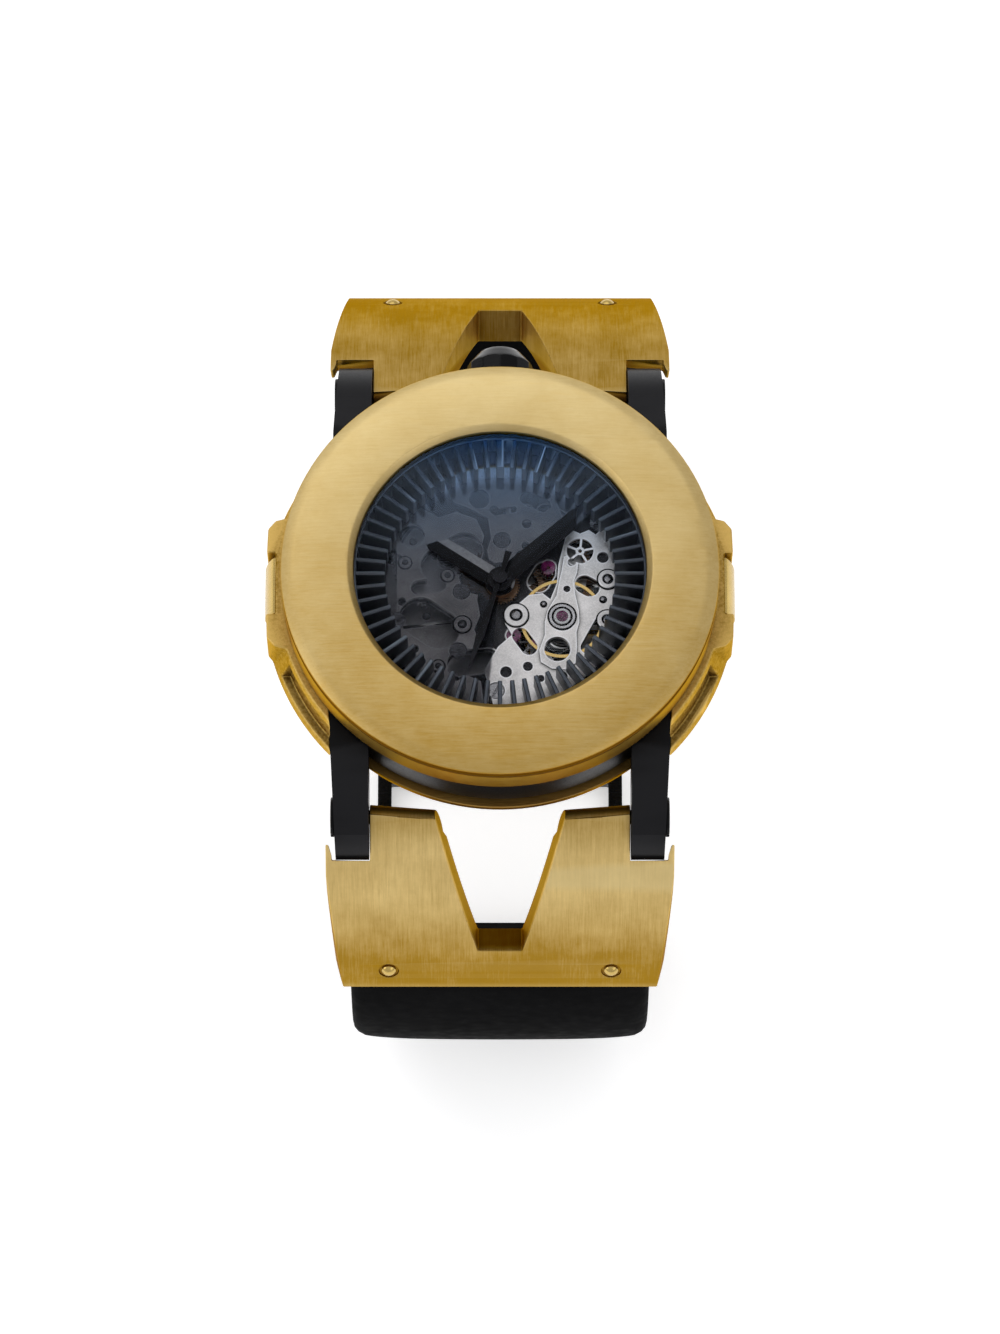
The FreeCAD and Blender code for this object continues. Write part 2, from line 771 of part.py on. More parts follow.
def vee_tool():
    """The vee, cut at right angles to the face near its tip, so its walls show from the front."""
    lean = math.radians(size("vee_lean"))
    outwards = vec(0, -math.sin(lean), math.cos(lean))
    along = vec(0, -math.cos(lean), -math.sin(lean))
    start = hinge_vec(*plate_point(size("plate_bend"), size("vee_tip_angle")))
    mouth, tip, reach = size("vee_mouth_half"), size("vee_tip_half"), size("vee_mouth_reach")
    right = [(tip, 0), (mouth, -reach), (mouth + 0.9, -reach - 1.2), (mouth + 4, -reach - 9)]
    outline = right + [(-x, t) for x, t in right[::-1]]
    corners = [start + along * t + vec(x, 0, 0) - outwards * 10 for x, t in outline]
    return Part.Face(Part.makePolygon(corners + corners[:1])).extrude(outwards * 24)


def end_plate_shape():
    """One gold end plate in the hinge frame, with its vee, lug notches, pin bore and rivet holes."""
    slab = plate_blank()
    end_out = plate_point(size("plate_bend"), size("plate_end_angle"))[0]
    slab = slab.common(taper_outline(size("plate_half_width") - 0.4, size("plate_end_half"), end_out, 0.75))
    pin = size("pin_radius") + 0.05
    inside = size("pin_inner") - 0.1
    cuts = [Part.makeCylinder(pin, 30, vec(side * inside, 0, 0), vec(side, 0, 0)) for side in (-1, 1)]
    cuts += [near_edge_tool(side) for side in (-1, 1)] + [vee_tool()]
    for side in (-1, 1):
        inner = size("tongue_half")
        swing = Part.makeCylinder(size("notch_radius"), 3.85, vec(side * inner, 0, 0), vec(side, 0, 0))
        cuts.append(swing)
        wing = [(side * inner, -4.2), (side * 16.9, -3.75), (side * 17.2, -2.9), (side * 18.5, -2.8),
                (side * 18.5, 20), (side * inner, 20)]
        cuts.append(prism(wing, -30, 30))
    shape = slab
    for tool in cuts + rivet_tools("plate"):
        shape = shape.cut(tool)
    return shape


def rivet_axes():
    """Foot point and outward direction of each rivet, on the plate's outer face."""
    angle = size("rivet_angle")
    out, up = plate_point(size("plate_bend"), angle)
    t = math.radians(angle)
    direction = vec(0, -math.sin(t), math.cos(t))
    return [(hinge_vec(out, up, x * size("rivet_side")), direction) for x in (-1, 1)]


def rivet_tools(kind):
    tools = []
    for at, direction in rivet_axes():
        depth = size("plate_thick") + size("tongue_thick") + 2
        hole = size("rivet_shank") + 0.02
        tools.append(Part.makeCylinder(hole, depth, at - direction * depth + direction, direction))
        if kind == "plate":
            tools.append(Part.makeCylinder(size("rivet_sink"), 2, at - direction * 0.28, direction))
    return tools


def rivet_shapes():
    """Domed rivets that clamp the plate to the leather tongue."""
    rivets = []
    for at, direction in rivet_axes():
        depth = size("plate_thick") + size("tongue_thick") * 0.7
        shank = Part.makeCylinder(size("rivet_shank"), depth, at - direction * depth, direction)
        ball = size("rivet_ball")
        dome = Part.makeSphere(ball, at + direction * (size("rivet_rise") - ball))
        keep = Part.makeCylinder(size("rivet_head"), 2, at - direction * 0.26, direction)
        rivets.append(one([shank, dome.common(keep)]))
    return compound(rivets)


# Runs of the leather beyond each end plate: (length, turn in degrees).
LOWER_RUNS = [(10.37, 18.0), (26.2, 72.5)]
UPPER_RUNS = [(11.519, 33.0), (35.096, 90.0), (5.327, 0.0)]


def strap_shape(runs, end_half):
    """One strap half: a thick band after the plate and a thin tongue under it."""
    bend = size("plate_bend - strap_step")
    thick, thin = size("strap_thick"), size("tongue_thick")
    a1 = size("plate_end_angle")
    middle = bend - thick / 2
    face, foot, heading = band_face(runs, plate_point(middle, a1), a1, thick)
    half = size("strap_half")
    band = face.extrude(vec(2 * half, 0, 0)).translated(vec(-half, 0, 0))
    under = size("plate_bend - plate_thick") - 0.05 - thin / 2
    a0 = size("tongue_start_angle")
    turn = a1 + 1.5 - a0
    tongue_face, _, _ = band_face([(math.radians(turn) * under, turn)], plate_point(under, a0), a0, thin)
    tongue_half = size("plate_end_half") - 1.2
    tongue = tongue_face.extrude(vec(2 * tongue_half, 0, 0)).translated(vec(-tongue_half, 0, 0))
    leather = one([band.translated(vec(0, -0.05, 0)), tongue])
    for tool in rivet_tools("strap"):
        leather = leather.cut(tool)
    return leather.common(narrowing(half, end_half)), foot, heading


def narrowing(half, end_half):
    """A wedge seen from the front, full width at the plate and narrow at the foot of the loop."""
    top, low = size("strap_narrow_from"), size("strap_narrow_to")
    corners = [
        vec(-half, 40, 30), vec(half, 40, 30), vec(half, 40, top), vec(end_half, 40, low),
        vec(end_half, 40, -70), vec(-end_half, 40, -70), vec(-end_half, 40, low), vec(-half, 40, top),
    ]
    return Part.Face(Part.makePolygon(corners + corners[:1])).extrude(vec(0, -120, 0))


def strap_side(name, end, tilt, runs):
    plate = made(f"link_plate_{name}_body", end_plate_shape())
    hang(plate, f"link_plate_{name}", end, tilt)
    rivets = made(f"rivets_{name}_body", rivet_shapes())
    hang(rivets, f"rivets_{name}", end, tilt)
    leather, foot, heading = strap_shape(runs, size("strap_end_half"))
    hang(made(f"strap_{name}_body", leather), f"strap_{name}", end, tilt)
    return foot, heading


def clasp_cover():
    """The clasp's solid cover, under the end of the 12 o'clock half, with the bar it latches by."""
    half, thick = size("cover_half"), size("cover_thick")
    near, far = size("cover_near"), size("cover_far")
    cover = Part.makeBox(2 * half, near + far, thick - 0.1, vec(-half, -near, 0))
    corners = [e for e in cover.Edges if abs(e.tangentAt(e.FirstParameter).z) > 0.9]
    cover = cover.makeFillet(1.6, corners)
    rim = [e for e in cover.Edges if abs(e.CenterOfMass.z) < 0.01]
    cover = cover.makeChamfer(0.3, rim)
    latch = Part.makeBox(2 * half - 6, 1.6, 1.6, vec(3 - half, -near + 0.4, thick - 0.2))
    node(made("clasp_cover_body", one([cover, latch])), "clasp_cover", "0")


def across(radius, x0, x1, out, up):
    """A cylinder along X in the hinge frame, from x0 to x1."""
    return Part.makeCylinder(radius, x1 - x0, hinge_vec(out, up, x0), vec(1, 0, 0))


def clasp_hinge(end, heading):
    """The metal end cap of the 6 o'clock half, with its middle knuckle and the clasp's pin."""
    half, rail = size("cover_half"), size("frame_rail")
    pin_out, pin_up = size("clasp_pin_out"), -size("clasp_pin_down")
    knuckle = size("clasp_knuckle")
    cap_face, _, _ = band_face([(1.5, 0.0)], end, heading, size("strap_thick") - 1.2)
    cap_half = half - rail - 0.3
    cap = cap_face.extrude(vec(2 * cap_half, 0, 0)).translated(vec(-cap_half, 0.05, 0))
    inner = half - rail - 0.3
    barrel = across(knuckle, -inner, inner, pin_out, pin_up)
    solid = one([cap, barrel])
    for side in (-1, 1):
        x0 = inner if side > 0 else -half - 1
        solid = solid.cut(across(knuckle + 0.35, x0, x0 + half + 1 - inner, pin_out, pin_up))
    pin = across(size("clasp_pin_radius"), -half + 0.2, half - 0.2, pin_out, pin_up)
    hang(made("clasp_hinge_body", one([solid, pin])), "clasp_hinge", -1, "lower_tilt")


def clasp_frame():
    """The clasp's open frame: two rails from the pin to a bar just short of the cover."""
    half, rail, thick = size("cover_half"), size("frame_rail"), size("frame_thick")
    pin_out, pin_up = size("clasp_pin_out"), -size("clasp_pin_down")
    arc, turn = 5.9, 16.5
    heading = 180 - turn
    flat = size("pin_reach") + pin_out - arc - size("frame_near") + 0.05
    face, end, _ = band_face([(arc, turn), (flat, 0.0)], (pin_out, pin_up), heading, thick)
    slab = face.extrude(vec(2 * half, 0, 0)).translated(vec(-half, 0, 0))
    bar_edge = -end[0] - size("frame_bar")
    gap = Part.makeBox(2 * (half - rail), 40, 80, vec(rail - half, bar_edge - 40, -90))
    knuckles = [
        across(size("clasp_knuckle"), x0, x0 + rail, pin_out, pin_up) for x0 in (-half, half - rail)
    ]
    frame = one([slab.cut(gap)] + knuckles)
    frame = frame.cut(across(size("clasp_pin_radius") + 0.05, -half - 1, half + 1, pin_out, pin_up))
    hang(made("clasp_frame_body", frame), "clasp_frame", -1, "lower_tilt")


# ---------------------------------------------------------------- toothed wheels


def gear_outline(teeth, module, fill=0.40):
    """A closed polygon of trapezoid teeth; fill is a tooth's share of the pitch at the pitch line."""
    pitch = 2 * math.pi / teeth
    radius = teeth * module / 2
    root, tip = radius - module * 1.1, radius + module * 0.8
    points = []
    for i in range(teeth):
        for r, share in ((root, -fill * 0.72), (tip, -fill * 0.26), (tip, fill * 0.26), (root, fill * 0.72)):
            angle = pitch * (i + share)
            points.append((r * math.cos(angle), r * math.sin(angle)))
    return points


def gear(teeth, module, foot, top, hole=0.0, phase=0.0, at=(0, 0)):
    """A spur wheel; phase turns it, in degrees, to bring it into mesh."""
    wheel = prism(gear_outline(teeth, module), foot, top)
    if hole:
        wheel = wheel.cut(Part.makeCylinder(hole, top - foot + 2, vec(0, 0, foot - 1)))
    wheel.rotate(vec(0, 0), UP, phase)
    return wheel.translated(vec(at[0], at[1], 0))


def windows(count, inner, outer, arm, foot, top, at=(0, 0), phase=0.0):
    """The openings between a wheel's crossings, as cutting tools."""
    ring_shape = disc(outer, foot, top, hole=inner)
    for i in range(count):
        bar = Part.makeBox(outer + 1, arm, top - foot, vec(0, -arm / 2, foot))
        bar.rotate(vec(0, 0), UP, phase + i * 360 / count)
        ring_shape = ring_shape.cut(bar)
    return ring_shape.translated(vec(at[0], at[1], 0))


def mesh_phase(teeth_here, teeth_there, direction, phase_there):
    """The phase that puts a gap of this wheel on a tooth of the other.

    direction is the bearing, in degrees, from the other wheel's centre to this one's."""
    pitch_there, pitch_here = 360 / teeth_there, 360 / teeth_here
    lead = (direction - phase_there) / pitch_there
    fraction = lead - math.floor(lead)
    return (direction + 180) + (0.5 + fraction) * pitch_here


# ---------------------------------------------------------------- movement

THIRD_AT = polar(5.4, 25)
ESCAPE_AT = polar(5.28, -75)
BARREL_AT = polar(6.52, 144.4)
BALANCE_AT = vec(6.3, -3.5)
PALLET_AT = vec(3.95, -5.75)
MINUTE_AT = polar(2.4, 150)
CROWN_WHEEL_AT = vec(-1.2, 8.1)


def bearing(a, b):
    return math.degrees(math.atan2(b.y - a.y, b.x - a.x))


def centre_wheel():
    """80 teeth at the middle, on a hollow arbor that carries the cannon pinion."""
    rim = gear(80, size("centre_module"), 4.4, 4.65)
    rim = rim.cut(windows(5, 1.5, 4.0, 0.5, 4.3, 4.75))
    pinion = gear(12, size("barrel_module"), 3.8, 4.4)
    arbor = disc(0.56, 3.75, 6.6)
    shape = one([rim, pinion, arbor]).cut(disc(0.34, 3, 7))
    node(made("center_wheel_body", shape), "center_wheel")


def fourth_wheel():
    """80 teeth, 10-leaf pinion and the long arbor of the seconds hand."""
    rim = gear(80, size("fourth_module"), 3.0, 3.2).cut(windows(5, 1.3, 4.1, 0.42, 2.9, 3.3, phase=20))
    direction = bearing(vec(0, 0), THIRD_AT)
    phase = mesh_phase(10, 75, direction + 180, 0)
    pinion = gear(10, size("third_module"), 3.2, 3.7, phase=phase)
    arbor = disc(0.26, 2.35, size("seconds_level") + 0.35)
    node(made("fourth_wheel_body", one([rim, pinion, arbor])), "fourth_wheel")


def third_wheel():
    direction = bearing(vec(0, 0), THIRD_AT)
    at = (THIRD_AT.x, THIRD_AT.y)
    rim = gear(75, size("third_module"), 3.35, 3.55, at=at)
    rim = rim.cut(windows(5, 1.2, 3.95, 0.42, 3.2, 3.7, at=at))
    pinion = gear(10, size("centre_module"), 4.25, 4.75, at=at, phase=mesh_phase(10, 80, direction, 0))
    arbor = disc(0.3, 2.9, 4.8, at)
    pivots = disc(0.14, 2.35, 5.5, at)
    node(made("third_wheel_body", one([rim, arbor, pinion, pivots])), "third_wheel")


def escape_wheel():
    """15 pointed club teeth and an 8-leaf pinion."""
    teeth, tip, root = 15, 2.2, 1.75
    points = []
    for i in range(teeth):
        start = 360 / teeth * i
        for radius, angle in ((root, start), (tip, start + 6), (tip - 0.02, start + 9), (root, start + 8)):
            spot = polar(radius, angle)
            points.append((spot.x, spot.y))
    rim = prism(points, 3.9, 4.1).cut(windows(4, 0.6, 1.45, 0.25, 3.8, 4.2))
    rim = rim.translated(ESCAPE_AT)
    at = (ESCAPE_AT.x, ESCAPE_AT.y)
    direction = bearing(vec(0, 0), ESCAPE_AT)
    pinion = gear(8, size("fourth_module"), 2.9, 3.35, at=at, phase=mesh_phase(8, 80, direction, 0))
    arbor = disc(0.25, 3.0, 4.6, at)
    pivots = disc(0.12, 2.35, 5.5, at)
    node(made("escape_wheel_body", one([rim, arbor, pinion, pivots])), "escape_wheel")


def barrel_parts():
    """The toothed drum, its coiled mainspring, and the ratchet wheel on the barrel's arbor."""
    at = (BARREL_AT.x, BARREL_AT.y)
    direction = bearing(vec(0, 0), BARREL_AT)
    rim = gear(78, size("barrel_module"), 3.9, 4.2, at=at, phase=mesh_phase(78, 12, direction, 0))
    drum = disc(5.15, 3.3, 4.25, at)
    shape = one([rim, drum]).cut(disc(4.9, 3.45, 4.1, at)).cut(disc(1.05, 3, 5, at))
    node(made("barrel_body", shape), "barrel")
    coil = []
    inner, outer, turns, wall = 1.5, 4.8, 9, 0.16
    for i in range(turns):
        radius = outer - (outer - inner) * i / turns
        coil.append(disc(radius, 3.5, 4.05, at, hole=radius - wall))
    node(made("mainspring_body", compound(coil)), "mainspring")
    ratchet = gear(52, 0.13, 1.78, 2.12, at=at)
    arbor = disc(1.0, 2.0, 4.75, at)
    node(made("ratchet_wheel_body", one([ratchet, arbor])), "ratchet_wheel")


def winding_works():
    """Crown wheel, winding pinion on the stem and the click that holds the ratchet wheel."""
    at = (CROWN_WHEEL_AT.x, CROWN_WHEEL_AT.y)
    direction = bearing(BARREL_AT, CROWN_WHEEL_AT)
    distance = (CROWN_WHEEL_AT - BARREL_AT).Length
    teeth = round(2 * distance / 0.13) - 52
    wheel = gear(teeth, 0.13, 1.78, 2.12, at=at, phase=mesh_phase(teeth, 52, direction, 0))
    core = disc(0.7, 2.0, 2.75, at)
    node(made("crown_wheel_body", one([wheel, core]).cut(disc(0.3, 1.7, 2.3, at))), "crown_wheel")
    height = size("stem_height")
    pinion = prism(gear_outline(16, 0.16), 0, 1.1).cut(Part.makeCylinder(0.66, 2, vec(0, 0, -0.5)))
    pinion.rotate(vec(0, 0), vec(1, 0, 0), -90)
    node(made("winding_pinion_body", pinion.translated(vec(0, 9.6, height))), "winding_pinion")
    tip = BARREL_AT + polar(3.62, -38)
    foot = BARREL_AT + polar(5.6, -62)
    arm = prism([(tip.x, tip.y), (foot.x - 0.5, foot.y - 0.2), (foot.x + 0.2, foot.y - 0.7),
                 (foot.x + 0.6, foot.y), (tip.x + 0.55, tip.y + 0.1)], 1.8, 2.1)
    node(made("click_body", arm), "click")


def balance_parts():
    """The balance with its rim screws and roller, the hairspring, and the shock setting."""
    at = (BALANCE_AT.x, BALANCE_AT.y)
    radius = size("balance_radius")
    rim = disc(radius, 2.35, 2.72, hole=radius - 0.45)
    arms = [Part.makeBox(2 * radius - 0.4, 0.5, 0.25, vec(0.2 - radius, -0.25, 2.4))]
    weights = [
        Part.makeCylinder(0.2, 0.3, polar(radius - 0.05, a, 2.53), polar(1, a)) for a in range(15, 375, 30)
    ]
    hub = disc(0.55, 2.3, 2.8)
    staff = disc(0.24, 2.2, 4.2)
    pivots = disc(0.1, 1.9, 5.75)
    roller = disc(0.7, 4.16, 4.32)
    pin = Part.makeCylinder(0.1, 0.5, polar(0.5, bearing(BALANCE_AT, PALLET_AT), 3.85))
    shape = one([rim] + arms + weights + [hub, staff, pivots, roller, pin]).translated(BALANCE_AT)
    node(made("balance_wheel_body", shape), "balance_wheel")
    spring = []
    for i in range(6):
        r = 0.8 + 0.3 * i
        spring.append(disc(r, 2.86, 2.96, at, hole=r - 0.07))
    node(made("hairspring_body", compound(spring)), "hairspring")


def pallet_parts():
    """The lever with its two stones and fork, and the small bridge that carries it."""
    at = (PALLET_AT.x, PALLET_AT.y)
    to_balance = bearing(PALLET_AT, BALANCE_AT)
    to_escape = bearing(PALLET_AT, ESCAPE_AT)
    reach = (BALANCE_AT - PALLET_AT).Length
    lever = Part.makeBox(reach - 0.85, 0.28, 0.2, vec(0, -0.14, 3.9))
    prongs = [Part.makeBox(0.35, 0.14, 0.2, vec(reach - 0.9, y, 3.9)) for y in (-0.3, 0.16)]
    yoke = Part.makeBox(0.12, 0.6, 0.2, vec(reach - 0.95, -0.3, 3.9))
    stem = one([lever, yoke] + prongs)
    stem.rotate(vec(0, 0), UP, to_balance)
    arms = []
    for spread in (-62, 62):
        arm = Part.makeBox(1.15, 0.26, 0.2, vec(0, -0.13, 3.9))
        arm.rotate(vec(0, 0), UP, to_escape + spread)
        arms.append(arm)
    hub = disc(0.34, 3.8, 4.2)
    pivots = disc(0.12, 3.1, 5.5)
    shape = one([stem] + arms + [hub, pivots]).translated(PALLET_AT)
    node(made("pallet_fork_body", shape), "pallet_fork")
    bridge = prism([(at[0] - 0.9, at[1] + 0.55), (at[0] + 0.6, at[1] + 0.5), (at[0] + 2.3, at[1] - 2.5),
                    (at[0] + 1.0, at[1] - 3.4), (at[0] - 0.9, at[1] - 0.9)], 2.85, 3.25)
    node(made("pallet_bridge_body", bridge.cut(disc(0.2, 2, 4, at))), "pallet_bridge")


def motion_works():
    """The friction-fit cannon pinion, the minute wheel and the hour wheel under the dial."""
    module, fine = size("motion_module"), size("motion_module_hour")
    pipe = disc(0.82, 6.2, size("minute_level") + 0.1)
    cannon = one([gear(12, module, 6.0, 6.25), disc(0.85, 6.25, 6.3), pipe])
    node(made("cannon_pinion_body", cannon.cut(disc(0.6, 5.5, 9))), "cannon_pinion")
    at = (MINUTE_AT.x, MINUTE_AT.y)
    direction = bearing(vec(0, 0), MINUTE_AT)
    wheel = gear(36, module, 6.0, 6.2, at=at, phase=mesh_phase(36, 12, direction, 0))
    pinion = gear(10, fine, 6.2, 6.68, at=at)
    post = disc(0.3, 6.0, 6.68, at)
    node(made("minute_wheel_body", one([wheel, pinion, post]).cut(disc(0.2, 5, 8, at))), "minute_wheel")
    hour = gear(40, fine, 6.4, 6.62, phase=mesh_phase(40, 10, direction + 180, 0))
    pipe = disc(1.25, 6.4, size("hour_level") + 0.05)
    node(made("hour_wheel_body", one([hour, pipe]).cut(disc(0.9, 6, 9))), "hour_wheel")


def movement_plates():
    """The main plate, the bright dial-side bridge and the bridges of the wrist side."""
    foot, top = size("main_foot"), size("main_top")
    plate = disc(size("plate_radius"), foot, top)
    pierced = [
        disc(0.75, foot - 1, top + 1),
        disc(1.15, foot - 1, top + 1, (BARREL_AT.x, BARREL_AT.y)),
        disc(0.75, foot + 0.4, top + 1, (THIRD_AT.x, THIRD_AT.y)),
        disc(0.75, foot + 0.4, top + 1, (ESCAPE_AT.x, ESCAPE_AT.y)),
        disc(0.2, foot - 1, top + 1, (THIRD_AT.x, THIRD_AT.y)),
        disc(0.2, foot - 1, top + 1, (ESCAPE_AT.x, ESCAPE_AT.y)),
        disc(0.2, foot - 1, top + 1, (PALLET_AT.x, PALLET_AT.y)),
        disc(0.75, foot + 0.4, top + 1, (PALLET_AT.x, PALLET_AT.y)),
        disc(1.3, foot - 1, top + 1, (BALANCE_AT.x, BALANCE_AT.y)),
        Part.makeCylinder(1.55, 14, vec(0, 7.2, size("stem_height")), vec(0, 1, 0)),
    ]
    pierced += [window(*w, foot - 1, top + 1) for w in MAIN_WINDOWS]
    shape = plate
    for tool in pierced:
        shape = shape.cut(tool)
    node(made("main_plate_body", shape), "main_plate")
    bridge_parts()


# Openings of the main plate: (x, y, radius, stretch along x, turn in degrees).
MAIN_WINDOWS = [
    (-7.1, -3.9, 2.1, 1.2, -35),
    (-7.2, 0.1, 0.8, 1.0, 10),
    (-8.9, 5.6, 1.3, 0, 0),
    (-4.9, 3.2, 1.9, 1.5, 35),
    (5.76, -6.8, 1.4, 0, 0),
    (2.5, -5.9, 0.95, 0.75, 125),
    (9.5, -5.2, 0.8, 1.5, 62),
    (8.8, 0.1, 1.1, 0.3, 150),
    (8.1, 3.9, 1.5, 0.1, 120),
    (4.2, 1.2, 1.1, 0.6, 60),
    (-2.6, -8.0, 1.3, 1.4, 8),
    (2.6, 8.2, 0.9, 0, 0),
    (5.4, 7.7, 1.1, 0.8, -30),
    (-11.0, 0.6, 0.6, 3.0, 90),
]


def window(x, y, radius, stretch, turn, foot, top):
    """A round or stadium-shaped opening as a cutting tool."""
    if not stretch:
        return disc(radius, foot, top, (x, y))
    middle = Part.makeBox(2 * stretch, 2 * radius, top - foot, vec(-stretch, -radius, foot))
    ends = [disc(radius, foot, top, (sx, 0)) for sx in (-stretch, stretch)]
    slot = one([middle] + ends)
    slot.rotate(vec(0, 0), UP, turn)
    return slot.translated(vec(x, y, 0))


# Openings of the dial-side bridge, in the same form.
BRIDGE_WINDOWS = [
    (5.76, -6.8, 1.32, 0, 0),
    (2.5, -5.9, 0.85, 0.75, 125),
    (9.5, -5.2, 0.7, 1.5, 62),
    (8.8, 0.1, 1.0, 0.3, 150),
    (7.25, 2.6, 0.42, 0, 0),
    (6.75, -0.3, 0.36, 0, 0),
    (10.4, 3.2, 0.6, 0, 0),
    (10.4, -1.5, 0.25, 0, 0),
    (2.8, -8.6, 0.5, 0, 0),
    (4.1, -9.9, 0.38, 0, 0),
    (6.3, -9.6, 0.5, 0, 0),
    (8.6, -8.2, 0.42, 0, 0),
    (0.6, -9.2, 0.6, 0, 0),
]

# The bridge's outline, from its serrated corner near 2 o'clock round to the centre.
BRIDGE_OUTLINE = [
    (6.6, 5.3), (7.3, 6.2), (8.1, 5.8), (9.0, 6.2), (9.7, 5.7), (10.4, 6.5), (11.0, 6.6), (11.1, 6.0),
    (11.8, 5.8), (11.7, 5.1), (12.4, 4.9), (14, 0), (12, -8), (6, -13), (-0.6, -13), (-1.6, -9),
    (-0.2, -6.5), (1.2, -5.2),
    (0.5, -3.9), (0.7, -2.7), (1.8, -1.9), (2.9, -0.9), (4.3, -0.7), (5.08, -1.35), (5.75, 0.4), (5.9, 2.4),
]

# The raised arm that carries the balance's shock setting and splits round the big opening below it.
ARM_OUTLINE = [
    (6.45, 3.2), (7.2, 3.5), (7.95, 3.1), (7.8, 1.5), (7.45, 0.5), (7.6, -0.9), (7.95, -2.6), (8.0, -3.9),
    (7.7, -5.0), (7.75, -6.6), (7.6, -8.3), (6.6, -9.0), (5.2, -8.9), (4.1, -8.2), (3.95, -6.9), (4.5, -5.3),
    (4.5, -3.9), (4.8, -2.6), (5.7, -1.0), (5.95, 0.5), (6.2, 1.6),
]

# The second, darker-lying bridge that fills the 9 o'clock side.
WEST_OUTLINE = [
    (-1.9, 1.6), (-2.2, 3.4), (-1.6, 5.6), (-2.4, 7.4), (-4.4, 8.2), (-6.2, 7.6), (-8.0, 8.6), (-9.6, 7.9),
    (-13, 4), (-13, -6), (-7, -13), (-1.6, -13), (-1.9, -10.2), (-3.2, -9.6), (-4.4, -10.2),
    (-5.3, -9.0), (-4.9, -7.9),
    (-3.0, -7.6), (-2.0, -6.2), (-2.6, -4.6), (-2.0, -3.0), (-2.3, -1.4),
]

# The plate above the centre, bitten by round openings, that covers the winding works.
NORTH_OUTLINE = [
    (-1.0, 2.5), (1.1, 2.9), (2.4, 2.5), (4.3, 3.6), (5.4, 5.6), (6.5, 7.2), (5.6, 9.8), (3.6, 11.8),
    (-3.6, 12.1), (-5.3, 10.6), (-4.7, 9.2), (-3.0, 8.5), (-1.2, 7.5), (-0.9, 5.4), (-1.3, 4.0),
]
NORTH_WINDOWS = [
    (-2.1, 9.6, 1.05, 0, 0),
    (3.6, 9.3, 0.75, 0.9, -25),
    (2.7, 6.9, 0.5, 0, 0),
    (0.4, 8.3, 0.35, 1.0, 10),
]


def spoked_opening(x, y, low, high):
    """A round opening crossed by thin curved spokes, cut as separate cells."""
    cells = windows(5, 0.45, 1.35, 0.22, low, high, (x, y), phase=12)
    return [cells, disc(0.2, low, high, (x, y))]


def bridge_parts():
    """The bridge at 4 o'clock with its raised arm, the one at 9 o'clock and the one at 12."""
    low, high = size("dial_bridge_foot"), size("dial_bridge_top")
    below, above = low - 1, high + 1
    edge = disc(size("plate_radius") - 0.3, low, high)
    east = prism(BRIDGE_OUTLINE, low, high).common(edge)
    east = one([east, prism(ARM_OUTLINE, low + 0.1, high + size("arm_rise"))])
    for tool in [window(*w, below, above) for w in BRIDGE_WINDOWS] + spoked_opening(8.1, 3.9, below, above):
        east = east.cut(tool)
    east = east.cut(disc(size("shock_radius") + 0.05, below, above, (BALANCE_AT.x, BALANCE_AT.y)))
    wheel_room = disc(2.05, below, above, (MINUTE_AT.x, MINUTE_AT.y))
    west = prism(WEST_OUTLINE, low, high).common(edge).cut(wheel_room)
    for tool in [window(*w, below, above) for w in MAIN_WINDOWS if w[0] < 0]:
        west = west.cut(tool)
    north = prism(NORTH_OUTLINE, low, high).common(edge).cut(wheel_room)
    for tool in [window(*w, below, above) for w in NORTH_WINDOWS]:
        north = north.cut(tool)
    wells = [disc(0.9, below, above, at) for at in DIAL_BRIDGE_SCREWS + MAIN_SCREWS]
    wells += [disc(0.45, below, above, at) for at in BRIDGE_HOLES]
    pieces = [east, west, north]
    for tool in wells:
        pieces = [piece.cut(tool) for piece in pieces]
    node(made("dial_side_bridge_body", compound(pieces)), "dial_side_bridge")
    wrist_side_bridges()


BRIDGE_HOLES = [
    (-9.9, -1.6), (-4.6, -4.4), (-6.4, 2.3), (-10.3, 3.1), (-7.9, -8.0), (-8.6, -6.7), (2.6, 4.5),
    (4.7, 10.0),
]
DIAL_BRIDGE_SCREWS = [(10.9, 0.8), (10.8, -3.6), (1.65, -3.1)]
MAIN_SCREWS = [(-3.9, -0.5), (-4.2, -6.9), (0.2, 5.1), (9.9, 7.0), (-10.3, -3.6), (-0.4, -11.2)]
BRIDGE_SCREWS = [(-10.9, 4.6), (-2.6, 11.2), (9.9, 4.6), (4.2, 10.4), (-5.2, -10.2), (-9.6, -5.8)]


